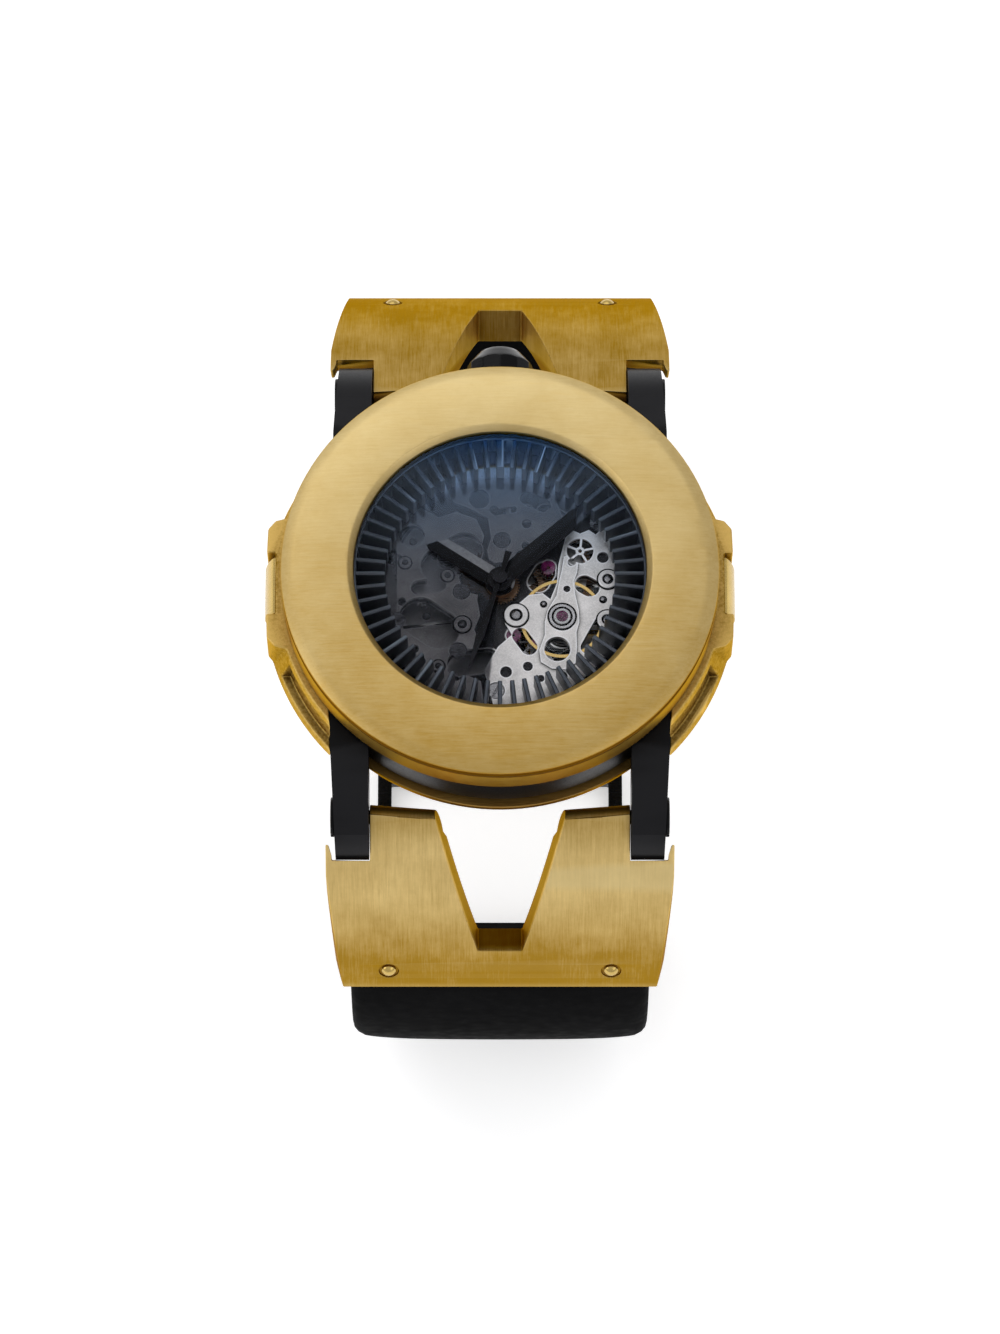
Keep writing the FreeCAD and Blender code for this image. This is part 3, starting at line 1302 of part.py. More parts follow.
def wrist_side_bridges():
    """Barrel bridge, train bridge and balance cock, cut from one disc with gaps between them."""
    low, high = size("bridge_foot"), size("bridge_top")
    blank = disc(12.9, low, high)
    barrel_side = prism([(-14, -3.4), (-2.6, -2.0), (-1.0, 3.0), (2.4, 6.3), (5.4, 14), (-14, 14)], low, high)
    train_side = prism([(-14, -3.7), (-2.4, -2.3), (-0.7, 2.8), (2.7, 6.1), (5.7, 14), (14, 14),
                        (14, 1.6), (1.0, 1.6), (1.0, -6.6), (3.2, -6.9), (4.6, -14), (-14, -14)], low, high)
    wells = [disc(0.8, low - 1, high + 1, at) for at in BRIDGE_SCREWS]
    barrel_bridge = blank.common(barrel_side)
    for tool in wells + [disc(1.05, low - 1, high + 1, (BARREL_AT.x, BARREL_AT.y)),
                         disc(0.75, low - 1, high + 1, (CROWN_WHEEL_AT.x, CROWN_WHEEL_AT.y))]:
        barrel_bridge = barrel_bridge.cut(tool)
    node(made("barrel_bridge_body", barrel_bridge), "barrel_bridge")
    train_bridge = blank.common(train_side)
    round_balance = disc(size("balance_radius") + 0.65, low - 1, high + 1, (BALANCE_AT.x, BALANCE_AT.y))
    for tool in wells + [round_balance] + [disc(0.75, low + 0.2, high + 1, (p.x, p.y))
                                           for p in (THIRD_AT, ESCAPE_AT, vec(0, 0))]:
        train_bridge = train_bridge.cut(tool)
    for p in (THIRD_AT, ESCAPE_AT, vec(0, 0)):
        train_bridge = train_bridge.cut(disc(0.3, low - 1, high + 1, (p.x, p.y)))
    node(made("train_bridge_body", train_bridge), "train_bridge")
    foot, shelf, at = 1.72, low - 0.02, (BALANCE_AT.x, BALANCE_AT.y)
    rim = disc(12.8, 1, 6)
    arm = prism([(5.4, -3.0), (7.4, -2.6), (13.0, -2.4), (11.6, -6.0), (6.6, -4.6)], foot, shelf)
    post = prism([(11.4, -1.2), (14, -1.2), (14, -7.5), (10.6, -7.5), (11.9, -4.2)],
                 foot, size("main_foot") - 0.02)
    post = post.cut(disc(size("balance_radius") + 0.65, 1, 6, at))
    cock = one([disc(1.5, foot, shelf, at), arm.common(rim), post.common(rim)]).cut(disc(0.16, 1, 3, at))
    node(made("balance_cock_body", cock), "balance_cock")


def jewels_and_screws():
    """Ruby bearings in the plates, every movement screw, and the balance's shock setting."""
    low = size("main_foot") + 0.42
    rubies = [disc(0.73, low, size("main_top"), (p.x, p.y), hole=0.18)
              for p in (THIRD_AT, ESCAPE_AT, PALLET_AT)]
    foot = size("bridge_foot") + 0.22
    rubies += [disc(0.73, foot, size("bridge_top"), (p.x, p.y), hole=h)
               for p, h in ((THIRD_AT, 0.18), (ESCAPE_AT, 0.18), (vec(0, 0), 0.3))]
    rubies += [disc(0.46, 5.8, 6.32, (BALANCE_AT.x, BALANCE_AT.y))]
    node(made("jewel_group", compound(rubies)), "jewels")
    top = size("dial_bridge_foot")
    screws = [slotted_screw(vec(x, y), top, 0.85, 0.42, turn=20) for x, y in DIAL_BRIDGE_SCREWS]
    screws += [slotted_screw(vec(x, y), top, 0.8, 0.3, turn=80) for x, y in MAIN_SCREWS]
    screws += [slotted_screw(vec(x, y), 2.22, 0.78, 0.5, down=True) for x, y in BRIDGE_SCREWS]
    node(made("screw_group", compound(screws)), "bridge_screws")
    seat = disc(size("shock_radius"), 5.2, 6.42, (BALANCE_AT.x, BALANCE_AT.y), hole=0.5)
    lip = disc(size("shock_radius"), 5.2, 5.78, (BALANCE_AT.x, BALANCE_AT.y), hole=0.16)
    springs = windows(3, 0.62, 1.02, 0.34, 6.3, 6.6, (BALANCE_AT.x, BALANCE_AT.y), phase=30)
    node(made("shock_setting_body", one([seat, lip]).cut(springs)), "shock_setting")


def rotor_parts():
    """The half-disc winding weight and the bearing it turns on."""
    half = disc(11.9, 1.18, 1.62).cut(Part.makeBox(30, 20, 5, vec(-15, 0.9, 0)))
    rim = disc(12.5, 1.14, 1.66, hole=10.6).cut(Part.makeBox(30, 20, 5, vec(-15, 0.4, 0)))
    eye = disc(2.0, 1.18, 1.62)
    slots = [window(5.9 * sx, -4.2, 1.1, 1.4, 35 * sx, 1, 2) for sx in (-1, 1)]
    shape = one([half, rim, eye]).cut(disc(1.15, 1, 3))
    for tool in slots:
        shape = shape.cut(tool)
    node(made("rotor_body", shape), "rotor")
    bearing_shape = one([disc(1.1, 1.12, 2.15), disc(1.6, 1.68, 2.15)])
    node(made("rotor_bearing_body", bearing_shape.cut(disc(0.35, 1.9, 2.3))), "rotor_bearing")


def dial_parts():
    """The smoked see-through dial and the ring that seats the movement in the case."""
    dial = ring("dial_disc", "1.45", "dial_radius", "dial_foot", "dial_top")
    node(dial, "smoked_dial")
    seat = turned(
        "seat_ring",
        [
            ("plate_radius + 0.05", "bridge_foot"),
            ("band_bore - 0.05", "bridge_foot"),
            ("band_bore - 0.05", "dial_foot - 0.02"),
            ("plate_radius + 0.05", "dial_foot - 0.02"),
        ],
    )
    stem_way = cylinder("seat_stem_way", 1.0, 20, (0, 5, "stem_height"), "Y")
    node(cut("movement_ring_body", seat, [stem_way]), "movement_ring")


# ---------------------------------------------------------------- hands

HOUR_ANGLE = 303.5
MINUTE_ANGLE = 49.0
SECONDS_ANGLE = 197.7


def aim(shape, clock_angle):
    """Turn a hand drawn along +Y to an angle measured clockwise from 12."""
    shape.rotate(vec(0, 0), UP, -clock_angle)
    return shape


def baton(length, width, tail, foot, thick, slant):
    """A parallel-sided blade with two slopes that meet along its middle and a slanted tip."""
    half = width / 2
    points = [(-half * 0.8, -tail), (half * 0.8, -tail), (half, 1.6), (half * 0.92, length - slant),
              (-half * 0.75, length), (-half, length - 0.5), (-half, 1.6)]
    blade = prism(points, foot, foot + thick)
    for side in (-1, 1):
        slope = Part.makeBox(4, 40, 2, vec(0 if side > 0 else -4, -15, 0))
        slope.rotate(vec(0, 0), vec(0, 1, 0), side * 17)
        slope.translate(vec(0, 0, foot + thick))
        blade = blade.cut(slope)
    return blade


def hands():
    hour_foot, minute_foot = size("hour_level"), size("minute_level")
    seconds_foot = size("seconds_level")
    hour = one([baton(size("hour_length"), 2.1, 0.4, hour_foot + 0.07, 0.42, 1.5),
                disc(1.5, hour_foot + 0.07, hour_foot + 0.4)])
    hour = one([hour, disc(1.24, hour_foot - 0.2, hour_foot + 0.4)])
    hour = hour.cut(disc(0.9, hour_foot - 1, hour_foot + 2))
    hour = hour.cut(disc(1.26, hour_foot - 1, hour_foot + 0.06))
    node(made("hour_hand_body", aim(hour, HOUR_ANGLE)), "hour_hand")
    minute = one([baton(size("minute_length"), 1.9, 0.4, minute_foot + 0.12, 0.42, 1.8),
                  disc(1.25, minute_foot + 0.12, minute_foot + 0.45)])
    minute = minute.cut(disc(0.4, minute_foot - 1, minute_foot + 2))
    node(made("minute_hand_body", aim(minute, MINUTE_ANGLE)), "minute_hand")
    length, tail = size("seconds_length"), size("seconds_tail")
    needle = prism([(-0.34, -tail), (0.34, -tail), (0.14, 0), (0.42, 6.4), (0.05, length), (-0.05, length),
                    (-0.42, 6.4), (-0.14, 0)], seconds_foot + 0.05, seconds_foot + 0.25)
    seconds = one([needle, disc(0.72, seconds_foot + 0.05, seconds_foot + 0.4)])
    seconds = seconds.cut(disc(0.28, seconds_foot - 1, seconds_foot + 0.36))
    node(made("seconds_hand_body", aim(seconds, SECONDS_ANGLE)), "seconds_hand")


# ---------------------------------------------------------------- crown


def crown_parts():
    """The faceted crown, its stem, its tube in the band and the sealing ring on the stem."""
    near, far = "crown_near", "crown_far"
    drum = doc.addObject("Part::Prism", "crown_drum")
    drum.Polygon = 12
    bind(drum, "Circumradius", "crown_radius")
    bind(drum, "Height", "crown_far - crown_near")
    put(drum, (0, near, "stem_height"), "Y")
    tip = cone("crown_tip", "crown_radius + 2.1", "crown_radius - 1.3", "crown_far - crown_near",
               (0, near, "stem_height"), "Y")
    shaped = common("crown_shaped", [drum, tip])
    bore = cylinder("crown_bore", "stem_radius + 0.02", 2.0, (0, near, "stem_height"), "Y")
    socket = cylinder("crown_socket", 1.95, 1.6, (0, near, "stem_height"), "Y")
    dish = cylinder("crown_dish", "crown_radius - 1.75", 1, (0, "crown_far - 0.15", "stem_height"), "Y")
    node(cut("crown_body", shaped, [bore, socket, dish]), "crown")
    shaft = cylinder("stem_shaft", "stem_radius", "crown_near + 2.0 - 7.6", (0, 7.6, "stem_height"), "Y")
    flange = cylinder("stem_flange", 0.95, 0.8, (0, 12.1, "stem_height"), "Y")
    node(fuse("winding_stem_body", [shaft, flange]), "winding_stem")
    tube = cut(
        "crown_tube_body",
        cylinder("tube_outer", 1.2, "crown_near + 0.4 - band_bore", (0, "band_bore", "stem_height"), "Y"),
        [cylinder("tube_inner", 1.02, 20, (0, 12, "stem_height"), "Y")],
    )
    node(tube, "crown_tube")
    seal = cut(
        "crown_seal_body",
        cylinder("seal_outer", 0.97, 0.6, (0, "band_radius - 1.2", "stem_height"), "Y"),
        [cylinder("seal_inner", "stem_radius + 0.03", 5, (0, "band_radius - 3", "stem_height"), "Y")],
    )
    node(seal, "crown_seal")


# ---------------------------------------------------------------- build, check and write

bezel_parts()
rehaut_parts()
middle_case()
hinge_pins()
case_chassis()
case_back()
side_guard(-1, "side_guard_left")
side_guard(1, "side_guard_right")
side_claw(-1, "side_claw_left")
side_claw(1, "side_claw_right")
guard_screws()
strap_end, strap_heading = strap_side("6", -1, "lower_tilt", LOWER_RUNS)
strap_side("12", 1, "upper_tilt", UPPER_RUNS)
clasp_cover()
clasp_hinge(strap_end, strap_heading)
clasp_frame()
centre_wheel()
third_wheel()
fourth_wheel()
escape_wheel()
barrel_parts()
winding_works()
balance_parts()
pallet_parts()
motion_works()
movement_plates()
jewels_and_screws()
rotor_parts()
dial_parts()
hands()
crown_parts()
doc.recompute()

for thing in doc.Objects:
    if {"Invalid", "Error"} & set(thing.State):
        raise RuntimeError(f"{thing.Label} failed: {thing.State}")
os.makedirs("parts", exist_ok=True)
for label, thing in NODES.items():
    if thing.Shape.isNull() or not thing.Shape.isValid() or not thing.Shape.Solids:
        raise RuntimeError(f"{label} has no valid solid")
    thing.Shape.exportStep(os.path.join("parts", label + ".step"))
print(len(NODES), "sub-parts written")
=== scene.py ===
import bmesh
import bpy
import json
import math
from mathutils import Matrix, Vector


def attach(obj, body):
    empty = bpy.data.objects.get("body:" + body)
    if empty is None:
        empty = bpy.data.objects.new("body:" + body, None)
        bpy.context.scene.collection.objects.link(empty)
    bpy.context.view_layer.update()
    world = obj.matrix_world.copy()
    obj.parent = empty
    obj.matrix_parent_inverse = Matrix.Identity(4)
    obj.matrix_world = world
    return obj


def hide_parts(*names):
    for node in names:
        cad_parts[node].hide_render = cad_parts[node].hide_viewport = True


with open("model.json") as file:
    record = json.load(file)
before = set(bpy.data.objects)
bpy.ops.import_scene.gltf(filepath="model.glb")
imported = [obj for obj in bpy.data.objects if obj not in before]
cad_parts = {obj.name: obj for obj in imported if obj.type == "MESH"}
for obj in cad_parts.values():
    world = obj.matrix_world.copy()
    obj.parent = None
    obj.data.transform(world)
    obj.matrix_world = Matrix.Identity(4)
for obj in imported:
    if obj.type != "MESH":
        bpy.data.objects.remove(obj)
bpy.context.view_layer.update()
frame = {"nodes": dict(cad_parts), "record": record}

MM = 0.001
TOP = 0.060            # height of the bezel's top above the foot of the loop
PIN_OUT, PIN_UP = 22.9 * MM, 48.8 * MM                 # the end plates' hinge pins
BEND = 33.0 * MM                                       # outer radius of an end plate's bend
CENTRE_OUT, CENTRE_DOWN = 18.37 * MM, 25.28 * MM       # centre of that bend, inwards and down from the pins
PLATE_END = 72.0                                       # degrees round the bend where the plate stops
STRAP_THICK = 3.6 * MM
STRAP_STEP = 0.6 * MM                                  # the leather lies this far under the plate's face
STRAP_HALF, STRAP_END_HALF = 15.3 * MM, 13.3 * MM      # half widths at the plate and at the clasp
NARROW_FROM, NARROW_TO = 30.0 * MM, 47.0 * MM          # depths below the pins between which it narrows
STRAP_PACE = 0.6 * MM                                  # spacing of the strap's sections
LOWER_RUNS = [(10.37, 18.0), (26.2, 72.5)]             # the strap's middle line: (millimetres, degrees)
UPPER_RUNS = [(11.519, 33.0), (35.096, 90.0), (5.327, 0.0)]
UPPER_TILT, LOWER_TILT = -15.0, 0.0                    # degrees that each half leans in


# ---------------------------------------------------------------- node-graph helper


class Graph:
    """A short way to write a material's node tree."""

    def __init__(self, name):
        self.material = bpy.data.materials.new(name)
        self.material.use_nodes = True
        self.tree = self.material.node_tree
        self.tree.nodes.clear()
        self.out = self.add("ShaderNodeOutputMaterial")

    def add(self, kind, **settings):
        node = self.tree.nodes.new(kind)
        for key, value in settings.items():
            setattr(node, key, value)
        return node

    def link(self, source, target):
        self.tree.links.new(source, target)

    def feed(self, node, socket, value):
        """Set a socket to a constant, or link it to another socket."""
        if isinstance(value, bpy.types.NodeSocket):
            self.link(value, node.inputs[socket])
        else:
            node.inputs[socket].default_value = value

    def place(self, scale=(1, 1, 1), turn=(0, 0, 0)):
        """Object coordinates, scaled: the object's own metres times scale."""
        coords = self.add("ShaderNodeTexCoord")
        mapping = self.add("ShaderNodeMapping")
        self.link(coords.outputs["Object"], mapping.inputs["Vector"])
        mapping.inputs["Scale"].default_value = scale
        mapping.inputs["Rotation"].default_value = turn
        return mapping.outputs["Vector"]

    def noise(self, vector, scale=1.0, detail=4.0, rough=0.6):
        node = self.add("ShaderNodeTexNoise")
        self.link(vector, node.inputs["Vector"])
        node.inputs["Scale"].default_value = scale
        node.inputs["Detail"].default_value = detail
        node.inputs["Roughness"].default_value = rough
        return node.outputs["Fac"]

    def cells(self, vector, scale=1.0, feature="F1"):
        node = self.add("ShaderNodeTexVoronoi", feature=feature)
        self.link(vector, node.inputs["Vector"])
        node.inputs["Scale"].default_value = scale
        return node.outputs["Distance"]

    def ramp(self, value, low, high, a=0.0, b=1.0):
        node = self.add("ShaderNodeMapRange", clamp=True)
        self.link(value, node.inputs["Value"])
        for socket, number in (("From Min", low), ("From Max", high), ("To Min", a), ("To Max", b)):
            node.inputs[socket].default_value = number
        return node.outputs["Result"]

    def math(self, operation, a, b=0.0):
        node = self.add("ShaderNodeMath", operation=operation)
        self.feed(node, 0, a)
        self.feed(node, 1, b)
        return node.outputs["Value"]

    def length(self, a, b):
        """The length of a vector with components a and b."""
        return self.math("SQRT", self.math("ADD", self.math("MULTIPLY", a, a), self.math("MULTIPLY", b, b)))

    def bearing(self, a, b):
        """The angle of a over b, in degrees."""
        return self.math("MULTIPLY", self.math("ARCTAN2", a, b), 180 / math.pi)

    def mix(self, factor, a, b):
        node = self.add("ShaderNodeMix", data_type="RGBA")
        for socket, value in ((0, factor), (6, a), (7, b)):
            self.feed(node, socket, value)
        return node.outputs[2]

    def split(self, vector):
        node = self.add("ShaderNodeSeparateXYZ")
        self.link(vector, node.inputs[0])
        return node.outputs

    def bump(self, height, strength, distance, normal=None):
        node = self.add("ShaderNodeBump")
        node.inputs["Strength"].default_value = strength
        node.inputs["Distance"].default_value = distance
        self.link(height, node.inputs["Height"])
        if normal is not None:
            self.link(normal, node.inputs["Normal"])
        return node.outputs["Normal"]

    def convex_edges(self, low=0.52, high=0.62):
        """1 on convex edges, 0 elsewhere."""
        node = self.add("ShaderNodeNewGeometry")
        return self.ramp(node.outputs["Pointiness"], low, high)

    def nearby(self, distance, inside=False):
        """Openness within a distance: low in corners, or low at outer edges if inside."""
        node = self.add("ShaderNodeAmbientOcclusion", samples=6, inside=inside, only_local=True)
        node.inputs["Distance"].default_value = distance
        return node.outputs["AO"]

    def principled(self, **sockets):
        node = self.add("ShaderNodeBsdfPrincipled")
        for key, value in sockets.items():
            self.feed(node, key.replace("_", " "), value)
        self.link(node.outputs["BSDF"], self.out.inputs["Surface"])
        return node


def rgb(r, g, b):
    return (r, g, b, 1.0)


def toned(colour, factor):
    """A colour made darker or lighter by a factor."""
    return rgb(*[factor * c for c in colour])


GOLD_TINT = rgb(0.85, 0.60, 0.20)          # what gold reflects at a glancing angle
GOLD_WORN_AND_GLINT = rgb(0.74, 0.60, 0.30)          # rubbed edges, with a painted highlight along them
GOLD_FLECK = rgb(0.16, 0.085, 0.012)       # small pits
GOLD_SHADOW = rgb(0.085, 0.036, 0.003)     # painted shadow: the dark line in the bezel's groove
# near black for painted shade in corners and slots
PAINTED_CORNER_SHADE = rgb(0.01, 0.01, 0.011)
HAND_BLACK = (0.0035, 0.0035, 0.004)


# ---------------------------------------------------------------- materials


def brushed_metal(name, pale, deep, streak, painted_light, roughness, relief=0.25):
    """Brushed gold: streak draws the brush lines out along one axis; the function passed in gives the pale
    share, which paints highlight and shade.
    """
    g = Graph(name)
    lines = g.noise(g.place(scale=streak), 1.0, 5.0, 0.75)
    fine = g.noise(g.place(scale=[2.6 * s for s in streak]), 1.0, 2.0, 0.6)
    cloud = g.noise(g.place(), 190.0, 5.0, 0.65)
    pits = g.cells(g.place(scale=(1, 1.6, 1.6)), 1900.0)
    # pale share: painted highlight and shade from the function passed in, plus random cloud and brush lines
    share = g.math("ADD", painted_light(g), g.ramp(cloud, 0.3, 0.75, -0.16, 0.16))
    share = g.math("ADD", share, g.ramp(lines, 0.3, 0.7, -0.16, 0.16))
    # a deeper gold used for painted shade: the low end of the pale share and the corners
    dark = rgb(0.62 * deep[0], 0.44 * deep[1], 0.12 * deep[2])
    shade = g.mix(g.ramp(share, -0.7, -0.1), dark, g.mix(g.ramp(share, 0.0, 1.0), rgb(*deep), rgb(*pale)))
    # painted shadow line where the pale share is lowest, in the bezel's groove
    shade = g.mix(g.ramp(share, -1.6, -1.0), GOLD_SHADOW, shade)
    flecks = g.math("MULTIPLY", g.ramp(pits, 0.0, 0.11, 1.0, 0.0), g.ramp(cloud, 0.45, 0.7))
    shade = g.mix(g.math("MULTIPLY", flecks, 0.6), shade, GOLD_FLECK)
    # paler on convex edges: rubbed wear with a painted edge highlight
    edge = g.mix(g.math("MULTIPLY", g.convex_edges(0.53, 0.60), 0.5), shade, GOLD_WORN_AND_GLINT)
    rough = g.ramp(lines, 0.25, 0.75, roughness - 0.07, roughness + 0.10)
    grain = g.bump(lines, relief, 0.00003)
    grain = g.bump(fine, relief * 0.6, 0.00001, grain)
    grain = g.bump(cloud, 0.10, 0.0001, grain)
    # painted shade: darker in corners and recesses
    edge = g.mix(g.ramp(g.nearby(0.0012), 0.35, 0.95), dark, edge)
    g.principled(Base_Color=edge, Metallic=1.0, Roughness=rough, Normal=grain, Specular_Tint=GOLD_TINT)
    return g.material


def bezel_painted_light(g):
    """Painted light: palest at the 12 o'clock side and richer towards 6 (a painted highlight), deep gold down
    the outer wall (painted shade), and a painted shadow line in the groove.
    """
    _, y, z = g.split(g.place())
    # painted highlight: paler towards 12 o'clock
    face = g.ramp(y, -0.022, 0.020, 0.2, 0.9)
    # painted shade: darker down the outer wall
    wall = g.math("MULTIPLY", g.ramp(z, TOP - 1.3 * MM, TOP - 0.9 * MM, 1.0, 0.0),
                  g.ramp(z, TOP - 4.6 * MM, TOP - 2.0 * MM, -0.75, -0.25))
    # painted shadow: a dark line in the groove, in the bezel's shadow colour
    groove = g.math("MULTIPLY", g.ramp(z, TOP - 1.25 * MM, TOP - 0.95 * MM, -2.0, 0.0),
                    g.ramp(z, TOP - 2.2 * MM, TOP - 1.9 * MM))
    return g.math("ADD", g.math("ADD", face, wall), groove)


def plate_painted_light(g):
    """Palest along the middle of each end plate's bend (a painted highlight), more so on the 6 o'clock plate,
    and darker below the plate's outer face (painted shade).
    """
    _, y, z = g.split(g.place())
    out = g.math("ADD", g.math("ABSOLUTE", y), CENTRE_OUT - PIN_OUT)
    up = g.math("ADD", z, CENTRE_DOWN - PIN_UP)
    bend = g.bearing(out, up)
    # painted highlight: a pale band across the middle of the bend, stronger on the 6 o'clock plate
    near, far = g.ramp(bend, 30.0, 42.0), g.ramp(bend, 66.0, 50.0)
    lower = g.math("LESS_THAN", y, 0.0)
    band = g.math("MULTIPLY", g.math("MULTIPLY", near, far), g.math("ADD", g.math("MULTIPLY", lower, 0.5), 0.2))
    # painted shade: darker below the plate's outer face, on its sides and underside
    skin = g.ramp(g.length(out, up), BEND - 0.9 * MM, BEND - 0.3 * MM, -0.7, 0.0)
    return g.math("ADD", band, skin)


def sanded_gold(name, pale, deep):
    """Gold over a coarse blasted texture, darker in its recesses (painted shade) and paler on convex edges
    (rubbed wear with a painted highlight).
    """
    g = Graph(name)
    sand = g.noise(g.place(), 3200.0, 3.0, 0.7)
    lumps = g.noise(g.place(), 700.0, 4.0, 0.6)
    shade = g.mix(g.ramp(sand, 0.35, 0.7), rgb(*deep), rgb(*pale))
    # paler on convex edges: rubbed wear with a painted edge highlight
    edge = g.mix(g.convex_edges(0.52, 0.58), shade, toned(pale, 1.3))
    normal = g.bump(lumps, 0.18, 0.00008)
    normal = g.bump(sand, 0.4, 0.00004, normal)
    # painted shade: darker in recesses
    edge = g.mix(g.ramp(g.nearby(0.0016), 0.4, 0.95), toned(deep, 0.22), edge)
    g.principled(Base_Color=edge, Metallic=1.0, Roughness=g.ramp(sand, 0.3, 0.7, 0.36, 0.52), Normal=normal,
                 Specular_Tint=GOLD_TINT)
    return g.material


def polished_metal(name, colour, roughness, metallic=1.0, corner_shade=False):
    """Polished metal with a faint smear; the flag paints shade into its corners."""
    g = Graph(name)
    smear = g.noise(g.place(), 420.0, 4.0, 0.6)
    scratch = g.noise(g.place(scale=(300, 5200, 2600)), 1.0, 2.0, 0.7)
    shade = g.mix(g.ramp(smear, 0.3, 0.75), toned(colour, 0.86), rgb(*colour))
    rough = g.ramp(scratch, 0.3, 0.75, roughness * 0.7, roughness * 1.5)
    if corner_shade:
        # painted shade: near black in corners and slots
        shade = g.mix(g.ramp(g.nearby(0.0003), 0.4, 0.95), PAINTED_CORNER_SHADE, shade)
    g.principled(Base_Color=shade, Metallic=metallic, Roughness=rough, Normal=g.bump(smear, 0.1, 0.00002))
    return g.material


def coated_steel(name, colour):
    """Black coated steel: a dark metal sheen with a fine, nearly even grain."""
    g = Graph(name)
    grain = g.noise(g.place(scale=(5200, 900, 5200)), 1.0, 3.0, 0.6)
    cloud = g.noise(g.place(), 160.0, 4.0, 0.55)
    shade = g.mix(g.ramp(cloud, 0.3, 0.75), rgb(*colour), toned(colour, 1.7))
    # lighter on convex edges: rubbed coating with a painted edge highlight
    edge = g.mix(g.convex_edges(0.53, 0.62), shade, toned(colour, 3.2))
    g.principled(Base_Color=edge, Metallic=0.6, Roughness=g.ramp(grain, 0.3, 0.7, 0.29, 0.42),
                 Normal=g.bump(grain, 0.12, 0.00001), Specular_IOR_Level=0.16)
    return g.material


def hand_painted_facet(name, degrees):
    """A hand along the bearing in degrees: its upper facet carries a painted highlight in satin grey, its lower
    one is black.
    """
    g = Graph(name)
    x, y, _ = g.split(g.place())
    lean = math.radians(degrees)
    side = g.math("ADD", g.math("MULTIPLY", x, math.sin(lean)), g.math("MULTIPLY", y, -math.cos(lean)))
    # painted highlight: the facet on the upper side of the hand is lighter
    upper = g.math("MULTIPLY", g.ramp(side, 0.0, 0.08 * MM), g.ramp(g.length(x, y), 1.2 * MM, 1.3 * MM))
    satin = g.noise(g.place(), 2600.0, 3.0, 0.6)
    grey = g.mix(g.ramp(satin, 0.3, 0.7), rgb(0.13, 0.13, 0.132), rgb(0.20, 0.20, 0.203))
    tone = g.mix(upper, rgb(*HAND_BLACK), grey)
    g.principled(Base_Color=tone, Metallic=0.7, Roughness=g.ramp(satin, 0.3, 0.7, 0.32, 0.42),
                 Specular_IOR_Level=0.16, Normal=g.bump(satin, 0.1, 0.00001))
    return g.material


def flange_black(name):
    """Blue-black fins: a painted cold sheen near 12 o'clock, a painted deep-blue reflection on the wall behind
    them, and painted highlights on their edges.
    """
    g = Graph(name)
    _, y, _ = g.split(g.place())
    cloud = g.noise(g.place(), 900.0, 3.0, 0.6)
    # painted sheen: rises towards 12 o'clock and tints the fins there
    sheen = g.math("POWER", g.ramp(y, 0.002, 0.0128), 2.0)
    tone = g.mix(sheen, rgb(0.045, 0.052, 0.062), rgb(0.03, 0.04, 0.055))
    # painted reflection: the wall behind the fins at 12 o'clock turns deep blue
    tone = g.mix(g.ramp(y, 0.0134, 0.0142), tone, rgb(0.006, 0.040, 0.11))
    # painted highlight on convex edges, brighter towards 12 o'clock
    edge = g.mix(g.convex_edges(0.52, 0.60), tone, g.mix(sheen, rgb(0.10, 0.12, 0.14), rgb(0.55, 0.62, 0.72)))
    g.principled(Base_Color=edge, Metallic=0.7, Roughness=g.ramp(cloud, 0.3, 0.7, 0.28, 0.40),
                 Normal=g.bump(cloud, 0.1, 0.00002))
    return g.material


def bridge_metal(name, pale, deep):
    """Movement metal with faint parallel stripes and a fine sanded grain, painted shade in its corners and
    painted white highlights on its outer edges.
    """
    g = Graph(name)
    stripes = g.add("ShaderNodeTexWave", wave_type="BANDS", bands_direction="X", wave_profile="SAW")
    g.link(g.place(turn=(0, 0, 0.6)), stripes.inputs["Vector"])
    stripes.inputs["Scale"].default_value = 45.0
    stripes.inputs["Distortion"].default_value = 0.4
    grain = g.noise(g.place(), 5200.0, 3.0, 0.75)
    cloud = g.noise(g.place(), 380.0, 4.0, 0.6)
    tone = g.mix(g.ramp(cloud, 0.3, 0.72), rgb(*deep), rgb(*pale))
    tone = g.mix(g.ramp(grain, 0.42, 0.7, 0.0, 0.45), tone, toned(pale, 1.25))
    # painted shade: near black in corners and recesses
    tone = g.mix(g.ramp(g.nearby(0.0005), 0.45, 0.95), toned(deep, 0.05), tone)
    # painted highlight: white along outer edges
    edge = g.mix(g.ramp(g.nearby(0.0002, True), 0.95, 0.6), tone, rgb(1.0, 1.0, 1.0))
    normal = g.bump(stripes.outputs["Fac"], 0.10, 0.00002)
    normal = g.bump(grain, 0.25, 0.000012, normal)
    g.principled(Base_Color=edge, Metallic=1.0, Roughness=g.ramp(grain, 0.3, 0.7, 0.3, 0.5), Normal=normal)
    return g.material


